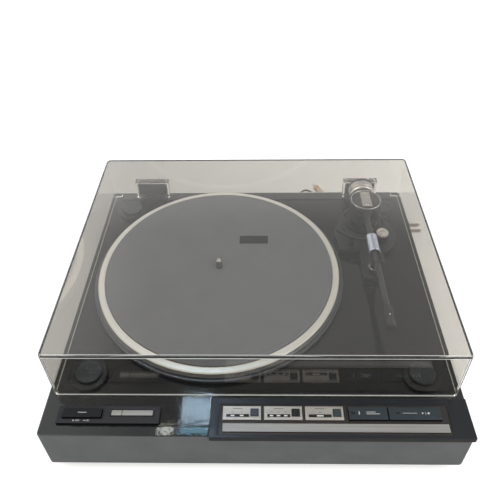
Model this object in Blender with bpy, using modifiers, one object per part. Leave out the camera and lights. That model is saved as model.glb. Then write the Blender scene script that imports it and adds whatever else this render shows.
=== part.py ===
# Full-automatic direct drive turntable: plinth, platter and motor, tonearm, hinged dust cover, leads.
# Sizes are read in a deck frame: x to the right, y back from the plinth's front face, z up from the deck.
import math

import bmesh
import bpy
import numpy as np
from mathutils import Vector

MM = 0.001

# Clearances and fineness
SEAT_GAP = 0.3 * MM
SLIDE_GAP = 0.35 * MM
OVERRUN = 2 * MM
MERGE = 0.01 * MM
TURN_STEPS = 32
WIDE_TURN_STEPS = 64
ARC_STEPS = 3

# Plinth, its bottom cover, feet and the round caps above the feet
PLINTH_WIDTH = 420 * MM
PLINTH_DEPTH = 368 * MM
PLINTH_HEIGHT = 57 * MM
PLINTH_WALL = 3 * MM
PLINTH_CORNER = 4 * MM
PLINTH_RIM = 1.2 * MM
PLINTH_SOLE = 2 * MM
DECK_THICKNESS = 4 * MM
BOSS_SIDE = 12 * MM
COVER_THICKNESS = 3 * MM
FOOT_HEIGHT = 13 * MM
FOOT_RADIUS = 24 * MM
FOOT_TAPER = 2 * MM
FOOT_EDGE = 1.5 * MM
CAP_SIDE_INSET = 37.5 * MM
CAP_FRONT_INSET = 66.5 * MM
CAP_REAR_INSET = 43 * MM
CAP_RADIUS = 19.2 * MM
CAP_HEIGHT = 5 * MM
CAP_EDGE = 1.2 * MM
CAP_DISC_RADIUS = 13.1 * MM
CAP_DISC_HEIGHT = 8 * MM

# Motor and platter
PLATTER_X = -44.2 * MM
PLATTER_Y = 207.4 * MM
FLANGE_RADIUS = 151 * MM
FLANGE_LOW = 2 * MM
FLANGE_TOP = 5.8 * MM
GROOVE_TOP = 6.5 * MM
GROOVE_DEPTH = 2 * MM
BAND_RADIUS = 148.2 * MM
BAND_TOP = 8 * MM
RING_RADIUS = 145.9 * MM
RING_TOP = 12 * MM
RING_EDGE = 1.2 * MM
MAT_RADIUS = 137.6 * MM
MAT_THICKNESS = 2.7 * MM
MAT_RIM = 4 * MM
MAT_RIM_RISE = 0.4 * MM
MAT_RECESS = 1.4 * MM
PLATE_THICKNESS = 3 * MM
SKIRT_WALL = 8 * MM
HUB_RADIUS = 9 * MM
HUB_LOW = 5 * MM
SPINDLE_RADIUS = 3.6 * MM
SPINDLE_TOP = 28 * MM
SPINDLE_NOSE = 2.2 * MM
ROTOR_RADIUS = 40 * MM
ROTOR_WALL = 5 * MM
ROTOR_PLATE = 2.3 * MM
ROTOR_LOW = -3 * MM
ROTOR_BORE = 10 * MM
STATOR_RADIUS = 31 * MM
STATOR_TOP = 4 * MM
MOTOR_PLATE_RADIUS = 55 * MM
MOTOR_PLATE_THICKNESS = 4 * MM
BEARING_RADIUS = 8 * MM
BEARING_DEPTH = 30 * MM
BEARING_FLOOR = 3 * MM
MOTOR_HOLE_RADIUS = 47 * MM

# Front panels, plates and buttons
PANEL_TOP = 3 * MM
PANEL_CORNER = 1 * MM
PANEL_LIP = 2.5 * MM
LIP_DROP = 3 * MM
POWER_PANEL_INSET = 16 * MM
POWER_PANEL_WIDTH = 101.3 * MM
POWER_PANEL_FRONT = 11.5 * MM
POWER_PANEL_BACK = 29.5 * MM
POWER_BUTTON_INSET = 6 * MM
POWER_BUTTON_WIDTH = 38.4 * MM
POWER_BUTTON_FRONT = 16.3 * MM
POWER_BUTTON_DEPTH = 9.3 * MM
POWER_BUTTON_TOP = 6 * MM
POWER_TRAVEL = 2 * MM
BADGE_INSET = 53 * MM
BADGE_WIDTH = 41.5 * MM
BADGE_FRONT = 19.3 * MM
BADGE_DEPTH = 6 * MM
BADGE_RECESS = 0.8 * MM
PANEL_INSET = 0.5 * MM
PANEL_WIDTH = 253 * MM
PANEL_BACK = 39 * MM
FIELD_INSET = 9 * MM
FIELD_WIDTH = 223.5 * MM
FIELD_FRONT = 0.8 * MM
FIELD_BACK = 32 * MM
FIELD_RECESS = 1.2 * MM
PLATE_INSET = 12.5 * MM
PLATE_PITCH = 40.3 * MM
PLATE_WIDTH = 37.3 * MM
PLATE_FRONT = 15.8 * MM
PLATE_DEPTH = 14.1 * MM
PLATE_HEIGHT = 1 * MM
WINDOW_INSET = 3.3 * MM
WINDOW_WIDTH = 22.3 * MM
WINDOW_FRONT = 18.6 * MM
WINDOW_DEPTH = 3.2 * MM
SMALL_BUTTON_INSET = 27.5 * MM
SMALL_BUTTON_WIDTH = 7.1 * MM
SMALL_BUTTON_FRONT = 19.6 * MM
SMALL_BUTTON_DEPTH = 7.3 * MM
SMALL_BUTTON_TOP = 4.6 * MM
LARGE_BUTTON_FRONT = 16 * MM
LARGE_BUTTON_DEPTH = 13 * MM
LARGE_BUTTON_TOP = 4.2 * MM
LIFT_BUTTON_INSET = 135.4 * MM
LIFT_BUTTON_WIDTH = 37.6 * MM
START_BUTTON_INSET = 174.2 * MM
START_BUTTON_WIDTH = 50.5 * MM
BUTTON_EDGE = 0.5 * MM
BUTTON_LOW = -7 * MM
BUTTON_TRAVEL = 1.5 * MM
STRIP_INSET = 12.9 * MM
STRIP_WIDTH = 216.9 * MM
STRIP_FRONT = 3.9 * MM
STRIP_DEPTH = 8.2 * MM
STRIP_HEIGHT = 1 * MM

# Circuit boards and the transformer inside the plinth
BOARD_THICKNESS = 1.6 * MM
CONTROL_BOARD_LOW = -16 * MM
CONTROL_BOARD_DEPTH = 30 * MM
CONTROL_BOARD_MARGIN = 6 * MM
BOARD_LEDGE_DEPTH = 5 * MM
BOARD_LEDGE_HEIGHT = 3 * MM
SWITCH_SIDE = 6 * MM
MAIN_BOARD_SIDE_INSET = 50 * MM
MAIN_BOARD_WIDTH = 110 * MM
MAIN_BOARD_REAR_INSET = 31 * MM
MAIN_BOARD_DEPTH = 75 * MM
BOARD_RIB_WIDTH = 8 * MM
BOARD_RIB_HEIGHT = 8 * MM
HEAT_SINK_WIDTH = 40 * MM
HEAT_SINK_DEPTH = 12 * MM
HEAT_SINK_HEIGHT = 22 * MM
TRANSFORMER_SIDE_INSET = 90 * MM
TRANSFORMER_WIDTH = 54 * MM
TRANSFORMER_REAR_INSET = 30 * MM
TRANSFORMER_DEPTH = 46 * MM
TRANSFORMER_HEIGHT = 36 * MM
TRANSFORMER_CORE_HEIGHT = 22 * MM
TRANSFORMER_BOBBIN_INSET = 9 * MM

# Tonearm: base, pillar, housing, arm and what the arm carries
PIVOT_SIDE_INSET = 66.6 * MM
PIVOT_REAR_INSET = 74.4 * MM
ARM_Z = 33 * MM
ARM_REACH = 192.1 * MM
TUBE_RADIUS = 3.5 * MM
STUB_RADIUS = 3.2 * MM
STUB_REACH = 44 * MM
SOCKET_DEPTH = 19 * MM
COLLAR_LENGTH = 26 * MM
COLLAR_RADIUS = 5.5 * MM
COLLAR_EDGE = 0.6 * MM
SLEEVE_START = 54.6 * MM
SLEEVE_LENGTH = 28 * MM
SLEEVE_RADIUS = 7 * MM
SLEEVE_EDGE = 0.8 * MM
WEIGHT_START = 22.5 * MM
WEIGHT_LENGTH = 21 * MM
WEIGHT_RADIUS = 16.8 * MM
WEIGHT_RING_LENGTH = 6 * MM
WEIGHT_GROOVE = 0.8 * MM
WEIGHT_EDGE = 1 * MM
HOUSING_RADIUS = 19.5 * MM
HOUSING_TOP = 47 * MM
HOUSING_EDGE = 0.8 * MM
HOUSING_FLOOR = 2.7 * MM
HOUSING_ROOF = 3.5 * MM
HOUSING_SLOT_WIDTH = 25 * MM
BRIDGE_WIDTH = 17 * MM
BRIDGE_REACH = 15 * MM
BRIDGE_HEIGHT = 1.2 * MM
ARM_BLOCK_WIDTH = 20 * MM
ARM_BLOCK_LENGTH = 24 * MM
ARM_BLOCK_HEIGHT = 11 * MM
ARM_BLOCK_EDGE = 1 * MM
TRUNNION_RADIUS = 2 * MM
PILLAR_STEP_RADIUS = 24 * MM
PILLAR_STEP_TOP = 11 * MM
PILLAR_RADIUS = 19.4 * MM
PILLAR_TOP = 22.5 * MM
ARM_BASE_SIDE_SHIFT = 0.2 * MM
ARM_BASE_FRONT_SHIFT = 21.6 * MM
ARM_BASE_RADIUS = 40 * MM
ARM_BASE_HEIGHT = 8 * MM
ARM_BASE_CORNER_REACH = 37.4 * MM
ARM_BASE_FRONT_REACH = 52.6 * MM
TONGUE_LEFT_REACH = 11.9 * MM
TONGUE_RIGHT_REACH = 9.1 * MM
TONGUE_REACH = 100.6 * MM
REST_REACH = 89 * MM
REST_POST_RADIUS = 6 * MM
REST_POST_TOP = 17 * MM
REST_RING_HEIGHT = 1.2 * MM
REST_NECK_RADIUS = 3 * MM
REST_LENGTH = 6 * MM
REST_FLOOR_WIDTH = 12 * MM
REST_FLOOR_THICKNESS = 2.6 * MM
REST_HOOK_WIDTH = 4.5 * MM
LATCH_RADIUS = 2.2 * MM
LATCH_THICKNESS = 1.6 * MM
LATCH_LENGTH = 13 * MM
LIFT_RADIUS = 48 * MM
LIFT_BAR_WIDTH = 5 * MM
LIFT_BAR_THICKNESS = 3 * MM
LIFT_BAR_TOP = 24 * MM
LIFT_STEM_RADIUS = 3 * MM
LIFT_STEM_LOW = 1.5 * MM
LIFT_START_DEG = -3
LIFT_END_DEG = 54
LIFT_STEM_DEG = 26
KNOB_SIDE_SHIFT = 18.9 * MM
KNOB_FRONT_SHIFT = 35.1 * MM
KNOB_RADIUS = 7.7 * MM
KNOB_TOP = 23 * MM
KNOB_CAP_HEIGHT = 3.5 * MM
KNOB_GROOVE = 0.7 * MM
KNOB_EDGE = 0.6 * MM

# Dust cover and its hinges
LID_SIDE_INSET = 4.9 * MM
LID_FRONT = 43 * MM
LID_BACK_INSET = 8 * MM
LID_HEIGHT = 66.7 * MM
LID_WALL = 2.5 * MM
LID_CORNER = 5 * MM
LID_RIM = 2.4 * MM
HINGE_SIDE_INSET = 64 * MM
HINGE_AXIS_INSET = 7 * MM
HINGE_AXIS_Z = 6 * MM
HINGE_WIDTH = 39 * MM
HINGE_BLOCK_INSET = 23 * MM
HINGE_BLOCK_DEPTH = 7 * MM
HINGE_BLOCK_TOP = 5 * MM
EAR_RADIUS = 4 * MM
EAR_THICKNESS = 5 * MM
EAR_LOW = 1.5 * MM
KNUCKLE_WIDTH = 17 * MM
PIN_RADIUS = 1.8 * MM
NOTCH_WIDTH = 32 * MM
NOTCH_TOP = 11.2 * MM
POCKET_WIDTH = 46 * MM
POCKET_INSET = 20.5 * MM
POCKET_TOP = 33 * MM
REAR_GAP_INSET = 16 * MM
REAR_GAP_TOP = 7 * MM
POCKET_WALL = 2 * MM
LEAF_LOW = 12 * MM

# Leads: rear glands, cords, coils and plugs, with heights above the table
GLAND_HEIGHT = 24 * MM
GLAND_INNER = 5 * MM
GLAND_FLANGE = 3.2 * MM
GLAND_NECK = 5 * MM
RELIEF_TIP_WALL = 0.6 * MM
POWER_GLAND_X = 198 * MM
POWER_GLAND_RADIUS = 7.5 * MM
POWER_RELIEF_LENGTH = 24 * MM
POWER_RELIEF_RADIUS = 5.2 * MM
POWER_CORD_RADIUS = 2.5 * MM
POWER_COIL_X = 168 * MM
POWER_COIL_Y = 397 * MM
POWER_COIL_RADIUS = 30 * MM
POWER_COIL_TURNS = 6.5
POWER_COIL_PITCH = 5.6 * MM
POWER_COIL_TAIL = 12.7 * MM
PLUG_LEFT = 211 * MM
PLUG_LENGTH = 22 * MM
PLUG_WIDTH = 23 * MM
PLUG_HEIGHT = 15 * MM
PLUG_CORNER = 3 * MM
PLUG_RELIEF_RADIUS = 4.4 * MM
BLADE_LENGTH = 16 * MM
BLADE_WIDTH = 6.35 * MM
BLADE_THICKNESS = 1.5 * MM
BLADE_SPACING = 12.7 * MM
AUDIO_GLAND_X = 73 * MM
AUDIO_GLAND_RADIUS = 6.5 * MM
AUDIO_RELIEF_LENGTH = 14 * MM
AUDIO_RELIEF_RADIUS = 4.2 * MM
AUDIO_CORD_RADIUS = 2.25 * MM
AUDIO_COIL_X = 40 * MM
AUDIO_COIL_Y = 397.5 * MM
AUDIO_COIL_RADIUS = 23.5 * MM
AUDIO_COIL_TURNS = 6.5
AUDIO_COIL_PITCH = 5.1 * MM
AUDIO_COIL_TAIL = 15 * MM
SPLIT_LENGTH = 13 * MM
SPLIT_WIDTH = 8 * MM
SPLIT_HEIGHT = 4.5 * MM
TAIL_RADIUS = 1.5 * MM
PHONO_PIN_RADIUS = 1.6 * MM
PHONO_PIN_LENGTH = 9 * MM
PHONO_SHELL_RADIUS = 4.3 * MM
PHONO_SHELL_LENGTH = 8 * MM
PHONO_BODY_RADIUS = 5 * MM
PHONO_BODY_LENGTH = 16 * MM
PHONO_BOOT_LENGTH = 6 * MM
PHONO_BOOT_RADIUS = 2 * MM
PHONO_LEFT_X = 23 * MM
PHONO_LEFT_Y = 440 * MM
PHONO_LEFT_DEG = 180
PHONO_RIGHT_X = 95 * MM
PHONO_RIGHT_Y = 470 * MM
PHONO_RIGHT_DEG = 114.6

# Places that follow from the sizes
FRONT_Y = (PANEL_LIP - PLINTH_DEPTH) / 2
DECK_Z = FOOT_HEIGHT + PLINTH_HEIGHT
TABLE = -DECK_Z
SOLE = -PLINTH_HEIGHT
COVER_TOP = SOLE + COVER_THICKNESS
DECK_UNDER = -DECK_THICKNESS
REAR = PLINTH_DEPTH
HALF_WIDTH = PLINTH_WIDTH / 2
CAP_X = HALF_WIDTH - CAP_SIDE_INSET
CAP_REAR_Y = REAR - CAP_REAR_INSET
POWER_PANEL_LEFT = POWER_PANEL_INSET - HALF_WIDTH
POWER_PANEL_RIGHT = POWER_PANEL_LEFT + POWER_PANEL_WIDTH
POWER_BUTTON_LEFT = POWER_PANEL_LEFT + POWER_BUTTON_INSET
BADGE_LEFT = POWER_PANEL_LEFT + BADGE_INSET
PANEL_RIGHT = HALF_WIDTH - PANEL_INSET
PANEL_LEFT = PANEL_RIGHT - PANEL_WIDTH
FIELD_LEFT = PANEL_LEFT + FIELD_INSET
PLATE_LEFT = PANEL_LEFT + PLATE_INSET
LIFT_BUTTON_LEFT = PANEL_LEFT + LIFT_BUTTON_INSET
START_BUTTON_LEFT = PANEL_LEFT + START_BUTTON_INSET
STRIP_LEFT = PANEL_LEFT + STRIP_INSET
MAIN_BOARD_LEFT = MAIN_BOARD_SIDE_INSET - HALF_WIDTH
MAIN_BOARD_FRONT = REAR - MAIN_BOARD_REAR_INSET - MAIN_BOARD_DEPTH
TRANSFORMER_LEFT = HALF_WIDTH - TRANSFORMER_SIDE_INSET - TRANSFORMER_WIDTH
TRANSFORMER_FRONT = REAR - TRANSFORMER_REAR_INSET - TRANSFORMER_DEPTH
PIVOT_X = HALF_WIDTH - PIVOT_SIDE_INSET
PIVOT_Y = REAR - PIVOT_REAR_INSET
ARM_BASE_X = PIVOT_X + ARM_BASE_SIDE_SHIFT
ARM_BASE_Y = PIVOT_Y - ARM_BASE_FRONT_SHIFT
ARM_BASE_CORNER_X = PIVOT_X - ARM_BASE_CORNER_REACH
ARM_BASE_FRONT_Y = PIVOT_Y - ARM_BASE_FRONT_REACH
TONGUE_LEFT = PIVOT_X - TONGUE_LEFT_REACH
TONGUE_RIGHT = PIVOT_X + TONGUE_RIGHT_REACH
TONGUE_FRONT = PIVOT_Y - TONGUE_REACH
KNOB_X = PIVOT_X + KNOB_SIDE_SHIFT
KNOB_Y = PIVOT_Y - KNOB_FRONT_SHIFT
LID_WIDTH = PLINTH_WIDTH - 2 * LID_SIDE_INSET
LID_BACK = REAR - LID_BACK_INSET
REAR_GAP_WIDTH = PLINTH_WIDTH - 2 * REAR_GAP_INSET
POCKET_FRONT = REAR - POCKET_INSET
HINGE_X = HALF_WIDTH - HINGE_SIDE_INSET
HINGE_AXIS_Y = REAR - HINGE_AXIS_INSET
HINGE_BLOCK_FRONT = REAR - HINGE_BLOCK_INSET

# Routes of the free cords, chosen by hand: x, y from the plinth's front, height above the table
POWER_ROUTE = (
    (198.0, 395.8, 24.0), (198.0, 402.0, 23.7), (198.0, 409.0, 22.0), (198.0, 415.0, 19.7), (196.4, 423.1, 16.1),
    (191.8, 429.9, 12.5), (185.0, 434.5, 9.5), (176.9, 436.1, 8.1), (173.3, 436.1, 8.1),
)
AUDIO_ROUTE = (
    (73.0, 385.8, 24.0), (73.0, 392.0, 23.7), (73.0, 399.0, 22.2), (73.0, 405.3, 20.2), (71.2, 414.5, 16.6),
    (66.0, 422.3, 12.6), (58.2, 427.5, 9.2), (49.0, 429.3, 7.35), (44.8, 429.3, 7.35),
)
LEFT_TAIL_ROUTE = (
    (68.6, 367.61, 2.25), (73.0, 367.8, 2.1), (80.0, 370.5, 1.6), (86.5, 378.0, 1.55), (90.0, 390.0, 1.55),
    (91.0, 404.0, 1.55), (92.0, 419.0, 1.55), (93.6, 434.0, 1.55), (93.0, 447.0, 1.55), (87.5, 456.5, 1.55),
    (79.0, 457.0, 1.6), (73.5, 450.5, 2.2), (70.5, 443.2, 4.0), (66.5, 440.2, 4.9), (62.3, 440.0, 5.0),
)
RIGHT_TAIL_ROUTE = (
    (68.6, 363.81, 2.25), (73.0, 363.8, 2.1), (82.0, 364.6, 1.6), (93.0, 369.0, 1.55), (103.5, 378.0, 1.55),
    (110.5, 390.0, 1.55), (114.5, 403.0, 1.55), (116.0, 415.0, 2.4), (114.8, 425.5, 4.2), (111.36, 434.27, 5.0),
)
ROUTE_UNIT = MM


# Deck frame to world.
def world(place):
    return Vector((place[0], place[1] + FRONT_Y, place[2] + DECK_Z))


def new_group(name, shown=True):
    group = bpy.data.collections.new(name)
    bpy.context.scene.collection.children.link(group)
    group.hide_render = not shown
    return group


for leftover in list(bpy.data.objects):
    bpy.data.objects.remove(leftover, do_unlink=True)
PARTS = new_group("direct_drive_turntable")
CUTTERS = new_group("cutters", shown=False)

# Colour, roughness, metallic and alpha of each finish
LOOKS = {
    "gloss black": ((0.012, 0.013, 0.014), 0.18, 0.0, 1.0),
    "satin black": ((0.02, 0.021, 0.022), 0.4, 0.0, 1.0),
    "panel black": ((0.026, 0.029, 0.034), 0.35, 0.0, 1.0),
    "key slate": ((0.05, 0.055, 0.07), 0.35, 0.0, 1.0),
    "silver": ((0.62, 0.6, 0.56), 0.3, 0.9, 1.0),
    "bright metal": ((0.75, 0.75, 0.74), 0.15, 1.0, 1.0),
    "platter metal": ((0.66, 0.65, 0.61), 0.32, 0.9, 1.0),
    "rubber": ((0.03, 0.03, 0.03), 0.75, 0.0, 1.0),
    "smoked clear": ((0.45, 0.44, 0.42), 0.05, 0.0, 0.3),
    "board": ((0.05, 0.18, 0.07), 0.5, 0.0, 1.0),
    "copper": ((0.55, 0.25, 0.1), 0.4, 0.6, 1.0),
    "hardboard": ((0.16, 0.1, 0.06), 0.8, 0.0, 1.0),
    "brass": ((0.6, 0.4, 0.16), 0.3, 1.0, 1.0),
    "cream": ((0.7, 0.58, 0.5), 0.45, 0.0, 1.0),
}


def new_material(name, look):
    colour, rough, metallic, alpha = LOOKS[look]
    material = bpy.data.materials.new(name)
    material.use_nodes = True
    shader = material.node_tree.nodes["Principled BSDF"]
    shader.inputs["Base Color"].default_value = (*colour, 1)
    shader.inputs["Roughness"].default_value = rough
    shader.inputs["Metallic"].default_value = metallic
    shader.inputs["Alpha"].default_value = alpha
    return material


# A piece where a look is given, otherwise a hidden cutter.
def add_object(name, data, place, look=None):
    made = bpy.data.objects.new(name, data)
    made.location = world(place)
    if look is None:
        CUTTERS.objects.link(made)
        made.hide_render = True
        made.display_type = "WIRE"
    else:
        PARTS.objects.link(made)
        data.materials.append(new_material(name, look))
    return made


def mesh_of(shape, name):
    data = bpy.data.meshes.new(name)
    shape.to_mesh(data)
    shape.free()
    return data


def round_edges(shape, edges, radius):
    bmesh.ops.bevel(
        shape, geom=edges, offset=radius, segments=ARC_STEPS, profile=0.5, affect="EDGES"
    )


# Box between two corners, with rounded upright, top and bottom edges where a radius is given.
def box(name, low, high, look=None, upright=0, rim=0, sole=0):
    low = Vector(low)
    high = Vector(high)
    size = high - low
    shape = bmesh.new()
    bmesh.ops.create_cube(shape, size=1)
    bmesh.ops.scale(shape, vec=size, verts=shape.verts)
    if upright:
        standing = [
            edge for edge in shape.edges if edge.verts[0].co.z * edge.verts[1].co.z < 0
        ]
        round_edges(shape, standing, upright)
    for radius, level in ((rim, size.z / 2), (sole, -size.z / 2)):
        if radius:
            flat = [
                edge
                for edge in shape.edges
                if all(abs(vertex.co.z - level) < MERGE for vertex in edge.verts)
            ]
            round_edges(shape, flat, radius)
    return add_object(name, mesh_of(shape, name), (low + high) / 2, look)


TURNS = {"x": (0, math.pi / 2, 0), "y": (-math.pi / 2, 0, 0), "z": (0, 0, 0)}


# Cylinder centred on a place, along one of the axes.
def drum(name, radius, length, place, along="z", look=None, steps=TURN_STEPS):
    shape = bmesh.new()
    bmesh.ops.create_cone(
        shape,
        cap_ends=True,
        segments=steps,
        radius1=radius,
        radius2=radius,
        depth=length,
    )
    made = add_object(name, mesh_of(shape, name), place, look)
    made.rotation_euler = TURNS[along]
    return made


# Profile of (radius, height), top to bottom down the outer side, turned about its axis.
def turned(name, profile, place, look=None, steps=TURN_STEPS, along="z", ring=False):
    data = bpy.data.meshes.new(name)
    edges = [(index, index + 1) for index in range(len(profile) - 1)]
    if ring:
        edges.append((len(profile) - 1, 0))
    data.from_pydata([(radius, 0, height) for radius, height in profile], edges, [])
    made = add_object(name, data, place, look)
    made.rotation_euler = TURNS[along]
    screw = made.modifiers.new("turn", "SCREW")
    screw.steps = steps
    screw.render_steps = steps
    screw.use_merge_vertices = True
    screw.merge_threshold = MERGE
    screw.use_smooth_shade = True
    return made


def cut(target, tool, operation="DIFFERENCE"):
    change = target.modifiers.new(tool.name, "BOOLEAN")
    change.operation = operation
    change.solver = "EXACT"
    change.object = tool


def join(target, tool):
    cut(target, tool, "UNION")


# Curve object made a mesh, its caps welded.
def as_mesh(made):
    name = made.name
    group = made.users_collection[0]
    graph = bpy.context.evaluated_depsgraph_get()
    data = bpy.data.meshes.new_from_object(made.evaluated_get(graph))
    shape = bmesh.new()
    shape.from_mesh(data)
    bmesh.ops.remove_doubles(shape, verts=shape.verts, dist=MERGE)
    shape.to_mesh(data)
    shape.free()
    matrix = made.matrix_world.copy()
    hidden = made.hide_render
    bpy.data.objects.remove(made, do_unlink=True)
    solid = bpy.data.objects.new(name, data)
    solid.matrix_world = matrix
    solid.hide_render = hidden
    solid.display_type = "WIRE" if hidden else "TEXTURED"
    group.objects.link(solid)
    return solid


# Flat outlines, the later ones holes, between two heights.
def flat_plate(name, outlines, low, high, look=None):
    curve = bpy.data.curves.new(name, "CURVE")
    curve.dimensions = "2D"
    curve.fill_mode = "BOTH"
    curve.extrude = (high - low) / 2
    for outline in outlines:
        spline = curve.splines.new("POLY")
        spline.points.add(len(outline) - 1)
        for point, (x, y) in zip(spline.points, outline):
            point.co = (x, y, 0, 1)
        spline.use_cyclic_u = True
    return as_mesh(add_object(name, curve, (0, 0, (low + high) / 2), look))


# Points on a circle, with the angles in degrees from +x.
def arc(x, y, radius, start, end, steps):
    angles = np.radians(np.linspace(start, end, steps + 1))
    return [(x + radius * math.cos(a), y + radius * math.sin(a)) for a in angles]


def tube(name, points, radius, look=None, roundness=2, radii=None):
    curve = bpy.data.curves.new(name, "CURVE")
    curve.dimensions = "3D"
    curve.bevel_depth = radius
    curve.bevel_resolution = roundness
    curve.use_fill_caps = True
    spline = curve.splines.new("POLY")
    spline.points.add(len(points) - 1)
    for index, (point, place) in enumerate(zip(spline.points, points)):
        point.co = (*place, 1)
        if radii is not None:
            point.radius = radii[index]
    return add_object(name, curve, (0, 0, 0), look)


# Catmull-Rom curve through a route of points above the table, read about every spacing.
def smooth_route(route, spacing):
    knots = np.array(route) * ROUTE_UNIT
    knots[:, 2] += TABLE
    padded = np.vstack([2 * knots[0] - knots[1], knots, 2 * knots[-1] - knots[-2]])
    places = []
    for before, start, end, after in zip(padded, padded[1:], padded[2:], padded[3:]):
        count = max(1, round(float(np.linalg.norm(end - start)) / spacing))
        for share in np.arange(count) / count:
            places.append(
                0.5
                * (
                    2 * start
                    + (end - before) * share
                    + (2 * before - 5 * start + 4 * end - after) * share**2
                    + (3 * start - before - 3 * end + after) * share**3
                )
            )
    places.append(knots[-1])
    return np.array(places)


# Joint axis as an empty, with the pieces that turn or slide on it as its children.
def on_axis(name, place, pieces, parent=None):
    axis = bpy.data.objects.new(name, None)
    axis.empty_display_size = HUB_RADIUS
    PARTS.objects.link(axis)
    axis.location = world(place)
    if parent is not None:
        axis.parent = parent
        axis.location = world(place) - parent.location
    for piece in pieces:
        piece.parent = axis
        piece.location = piece.location - world(place)
    return axis


# Plinth: one moulding open underneath, with the button openings, motor hole and gland holes.
def build_plinth():
    inner_width = HALF_WIDTH - PLINTH_WALL
    cabinet = box(
        "cabinet",
        (-HALF_WIDTH, 0, SOLE),
        (HALF_WIDTH, REAR, 0),
        "gloss black",
        upright=PLINTH_CORNER,
        rim=PLINTH_RIM,
        sole=PLINTH_SOLE,
    )
    cut(
        cabinet,
        box(
            "cabinet_inside",
            (-inner_width, PLINTH_WALL, SOLE - OVERRUN),
            (inner_width, REAR - PLINTH_WALL, DECK_UNDER),
            upright=PLINTH_CORNER - PLINTH_WALL,
        ),
    )
    boss_low = COVER_TOP + SEAT_GAP
    boss_top = DECK_UNDER / 2
    wall_middle = PLINTH_WALL / 2
    for side in (-1, 1):
        for row, (front, back) in enumerate(
            (
                (wall_middle, PLINTH_WALL + BOSS_SIDE),
                (REAR - PLINTH_WALL - BOSS_SIDE, REAR - wall_middle),
            )
        ):
            near = side * (inner_width - BOSS_SIDE)
            far = side * (inner_width + wall_middle)
            corner = (min(near, far), front, boss_low)
            opposite = (max(near, far), back, boss_top)
            join(cabinet, box(f"boss_{side}_{row}", corner, opposite))
    ledge_top = CONTROL_BOARD_LOW - SEAT_GAP
    join(
        cabinet,
        box(
            "board_ledge",
            (-inner_width + wall_middle, wall_middle, ledge_top - BOARD_LEDGE_HEIGHT),
            (inner_width - wall_middle, PLINTH_WALL + BOARD_LEDGE_DEPTH, ledge_top),
        ),
    )
    deck_low = DECK_UNDER - OVERRUN
    cut(
        cabinet,
        box(
            "power_opening",
            (POWER_BUTTON_LEFT - OVERRUN, POWER_BUTTON_FRONT - OVERRUN, deck_low),
            (
                POWER_BUTTON_LEFT + POWER_BUTTON_WIDTH + OVERRUN,
                POWER_BUTTON_FRONT + POWER_BUTTON_DEPTH + OVERRUN,
                OVERRUN,
            ),
        ),
    )
    cut(
        cabinet,
        box(
            "control_opening",
            (PLATE_LEFT, PLATE_FRONT - SLIDE_GAP, deck_low),
            (
                START_BUTTON_LEFT + START_BUTTON_WIDTH + OVERRUN,
                PLATE_FRONT + PLATE_DEPTH,
                OVERRUN,
            ),
        ),
    )
    hole_depth = DECK_THICKNESS + 2 * OVERRUN
    motor_place = (PLATTER_X, PLATTER_Y, DECK_UNDER / 2)
    cut(
        cabinet,
        drum("motor_hole", MOTOR_HOLE_RADIUS, hole_depth, motor_place, steps=WIDE_TURN_STEPS),
    )
    for name, x in (("power_hole", POWER_GLAND_X), ("audio_hole", AUDIO_GLAND_X)):
        depth = OVERRUN + PLINTH_WALL + BOSS_SIDE
        place = (x, REAR + OVERRUN - depth / 2, TABLE + GLAND_HEIGHT)
        cut(cabinet, drum(name, GLAND_NECK + SEAT_GAP, depth, place, along="y"))


# Bottom cover with two ribs that carry the main board.
def build_cover():
    half = HALF_WIDTH - PLINTH_WALL - SLIDE_GAP
    cover = box(
        "bottom_cover",
        (-half, PLINTH_WALL + SLIDE_GAP, SOLE),
        (half, REAR - PLINTH_WALL - SLIDE_GAP, COVER_TOP),
        "hardboard",
        upright=PLINTH_CORNER - PLINTH_WALL,
    )
    for index, left in enumerate(
        (MAIN_BOARD_LEFT, MAIN_BOARD_LEFT + MAIN_BOARD_WIDTH - BOARD_RIB_WIDTH)
    ):
        join(
            cover,
            box(
                f"board_rib_{index}",
                (left, MAIN_BOARD_FRONT, SOLE + COVER_THICKNESS / 2),
                (
                    left + BOARD_RIB_WIDTH,
                    MAIN_BOARD_FRONT + MAIN_BOARD_DEPTH,
                    COVER_TOP + BOARD_RIB_HEIGHT,
                ),
            ),
        )


def corners():
    return (
        ("front_left", -CAP_X, CAP_FRONT_INSET),
        ("front_right", CAP_X, CAP_FRONT_INSET),
        ("rear_left", -CAP_X, CAP_REAR_Y),
        ("rear_right", CAP_X, CAP_REAR_Y),
    )


# Rubber feet under the bottom cover, each with its round cap on the deck above.
def build_feet():
    foot = (
        (0, FOOT_HEIGHT - SEAT_GAP),
        (FOOT_RADIUS - FOOT_TAPER, FOOT_HEIGHT - SEAT_GAP),
        (FOOT_RADIUS, FOOT_EDGE),
        (FOOT_RADIUS - FOOT_EDGE, 0),
        (0, 0),
    )
    cap = (
        (0, CAP_DISC_HEIGHT),
        (CAP_DISC_RADIUS - CAP_EDGE, CAP_DISC_HEIGHT),
        (CAP_DISC_RADIUS, CAP_DISC_HEIGHT - CAP_EDGE),
        (CAP_DISC_RADIUS, CAP_HEIGHT),
        (CAP_RADIUS - CAP_EDGE, CAP_HEIGHT),
        (CAP_RADIUS, CAP_HEIGHT - CAP_EDGE),
        (CAP_RADIUS, SEAT_GAP),
        (0, SEAT_GAP),
    )
    for name, x, y in corners():
        turned(f"foot_{name}", foot, (x, y, TABLE), "rubber")
        turned(f"foot_cap_{name}", cap, (x, y, 0), "satin black")


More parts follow.
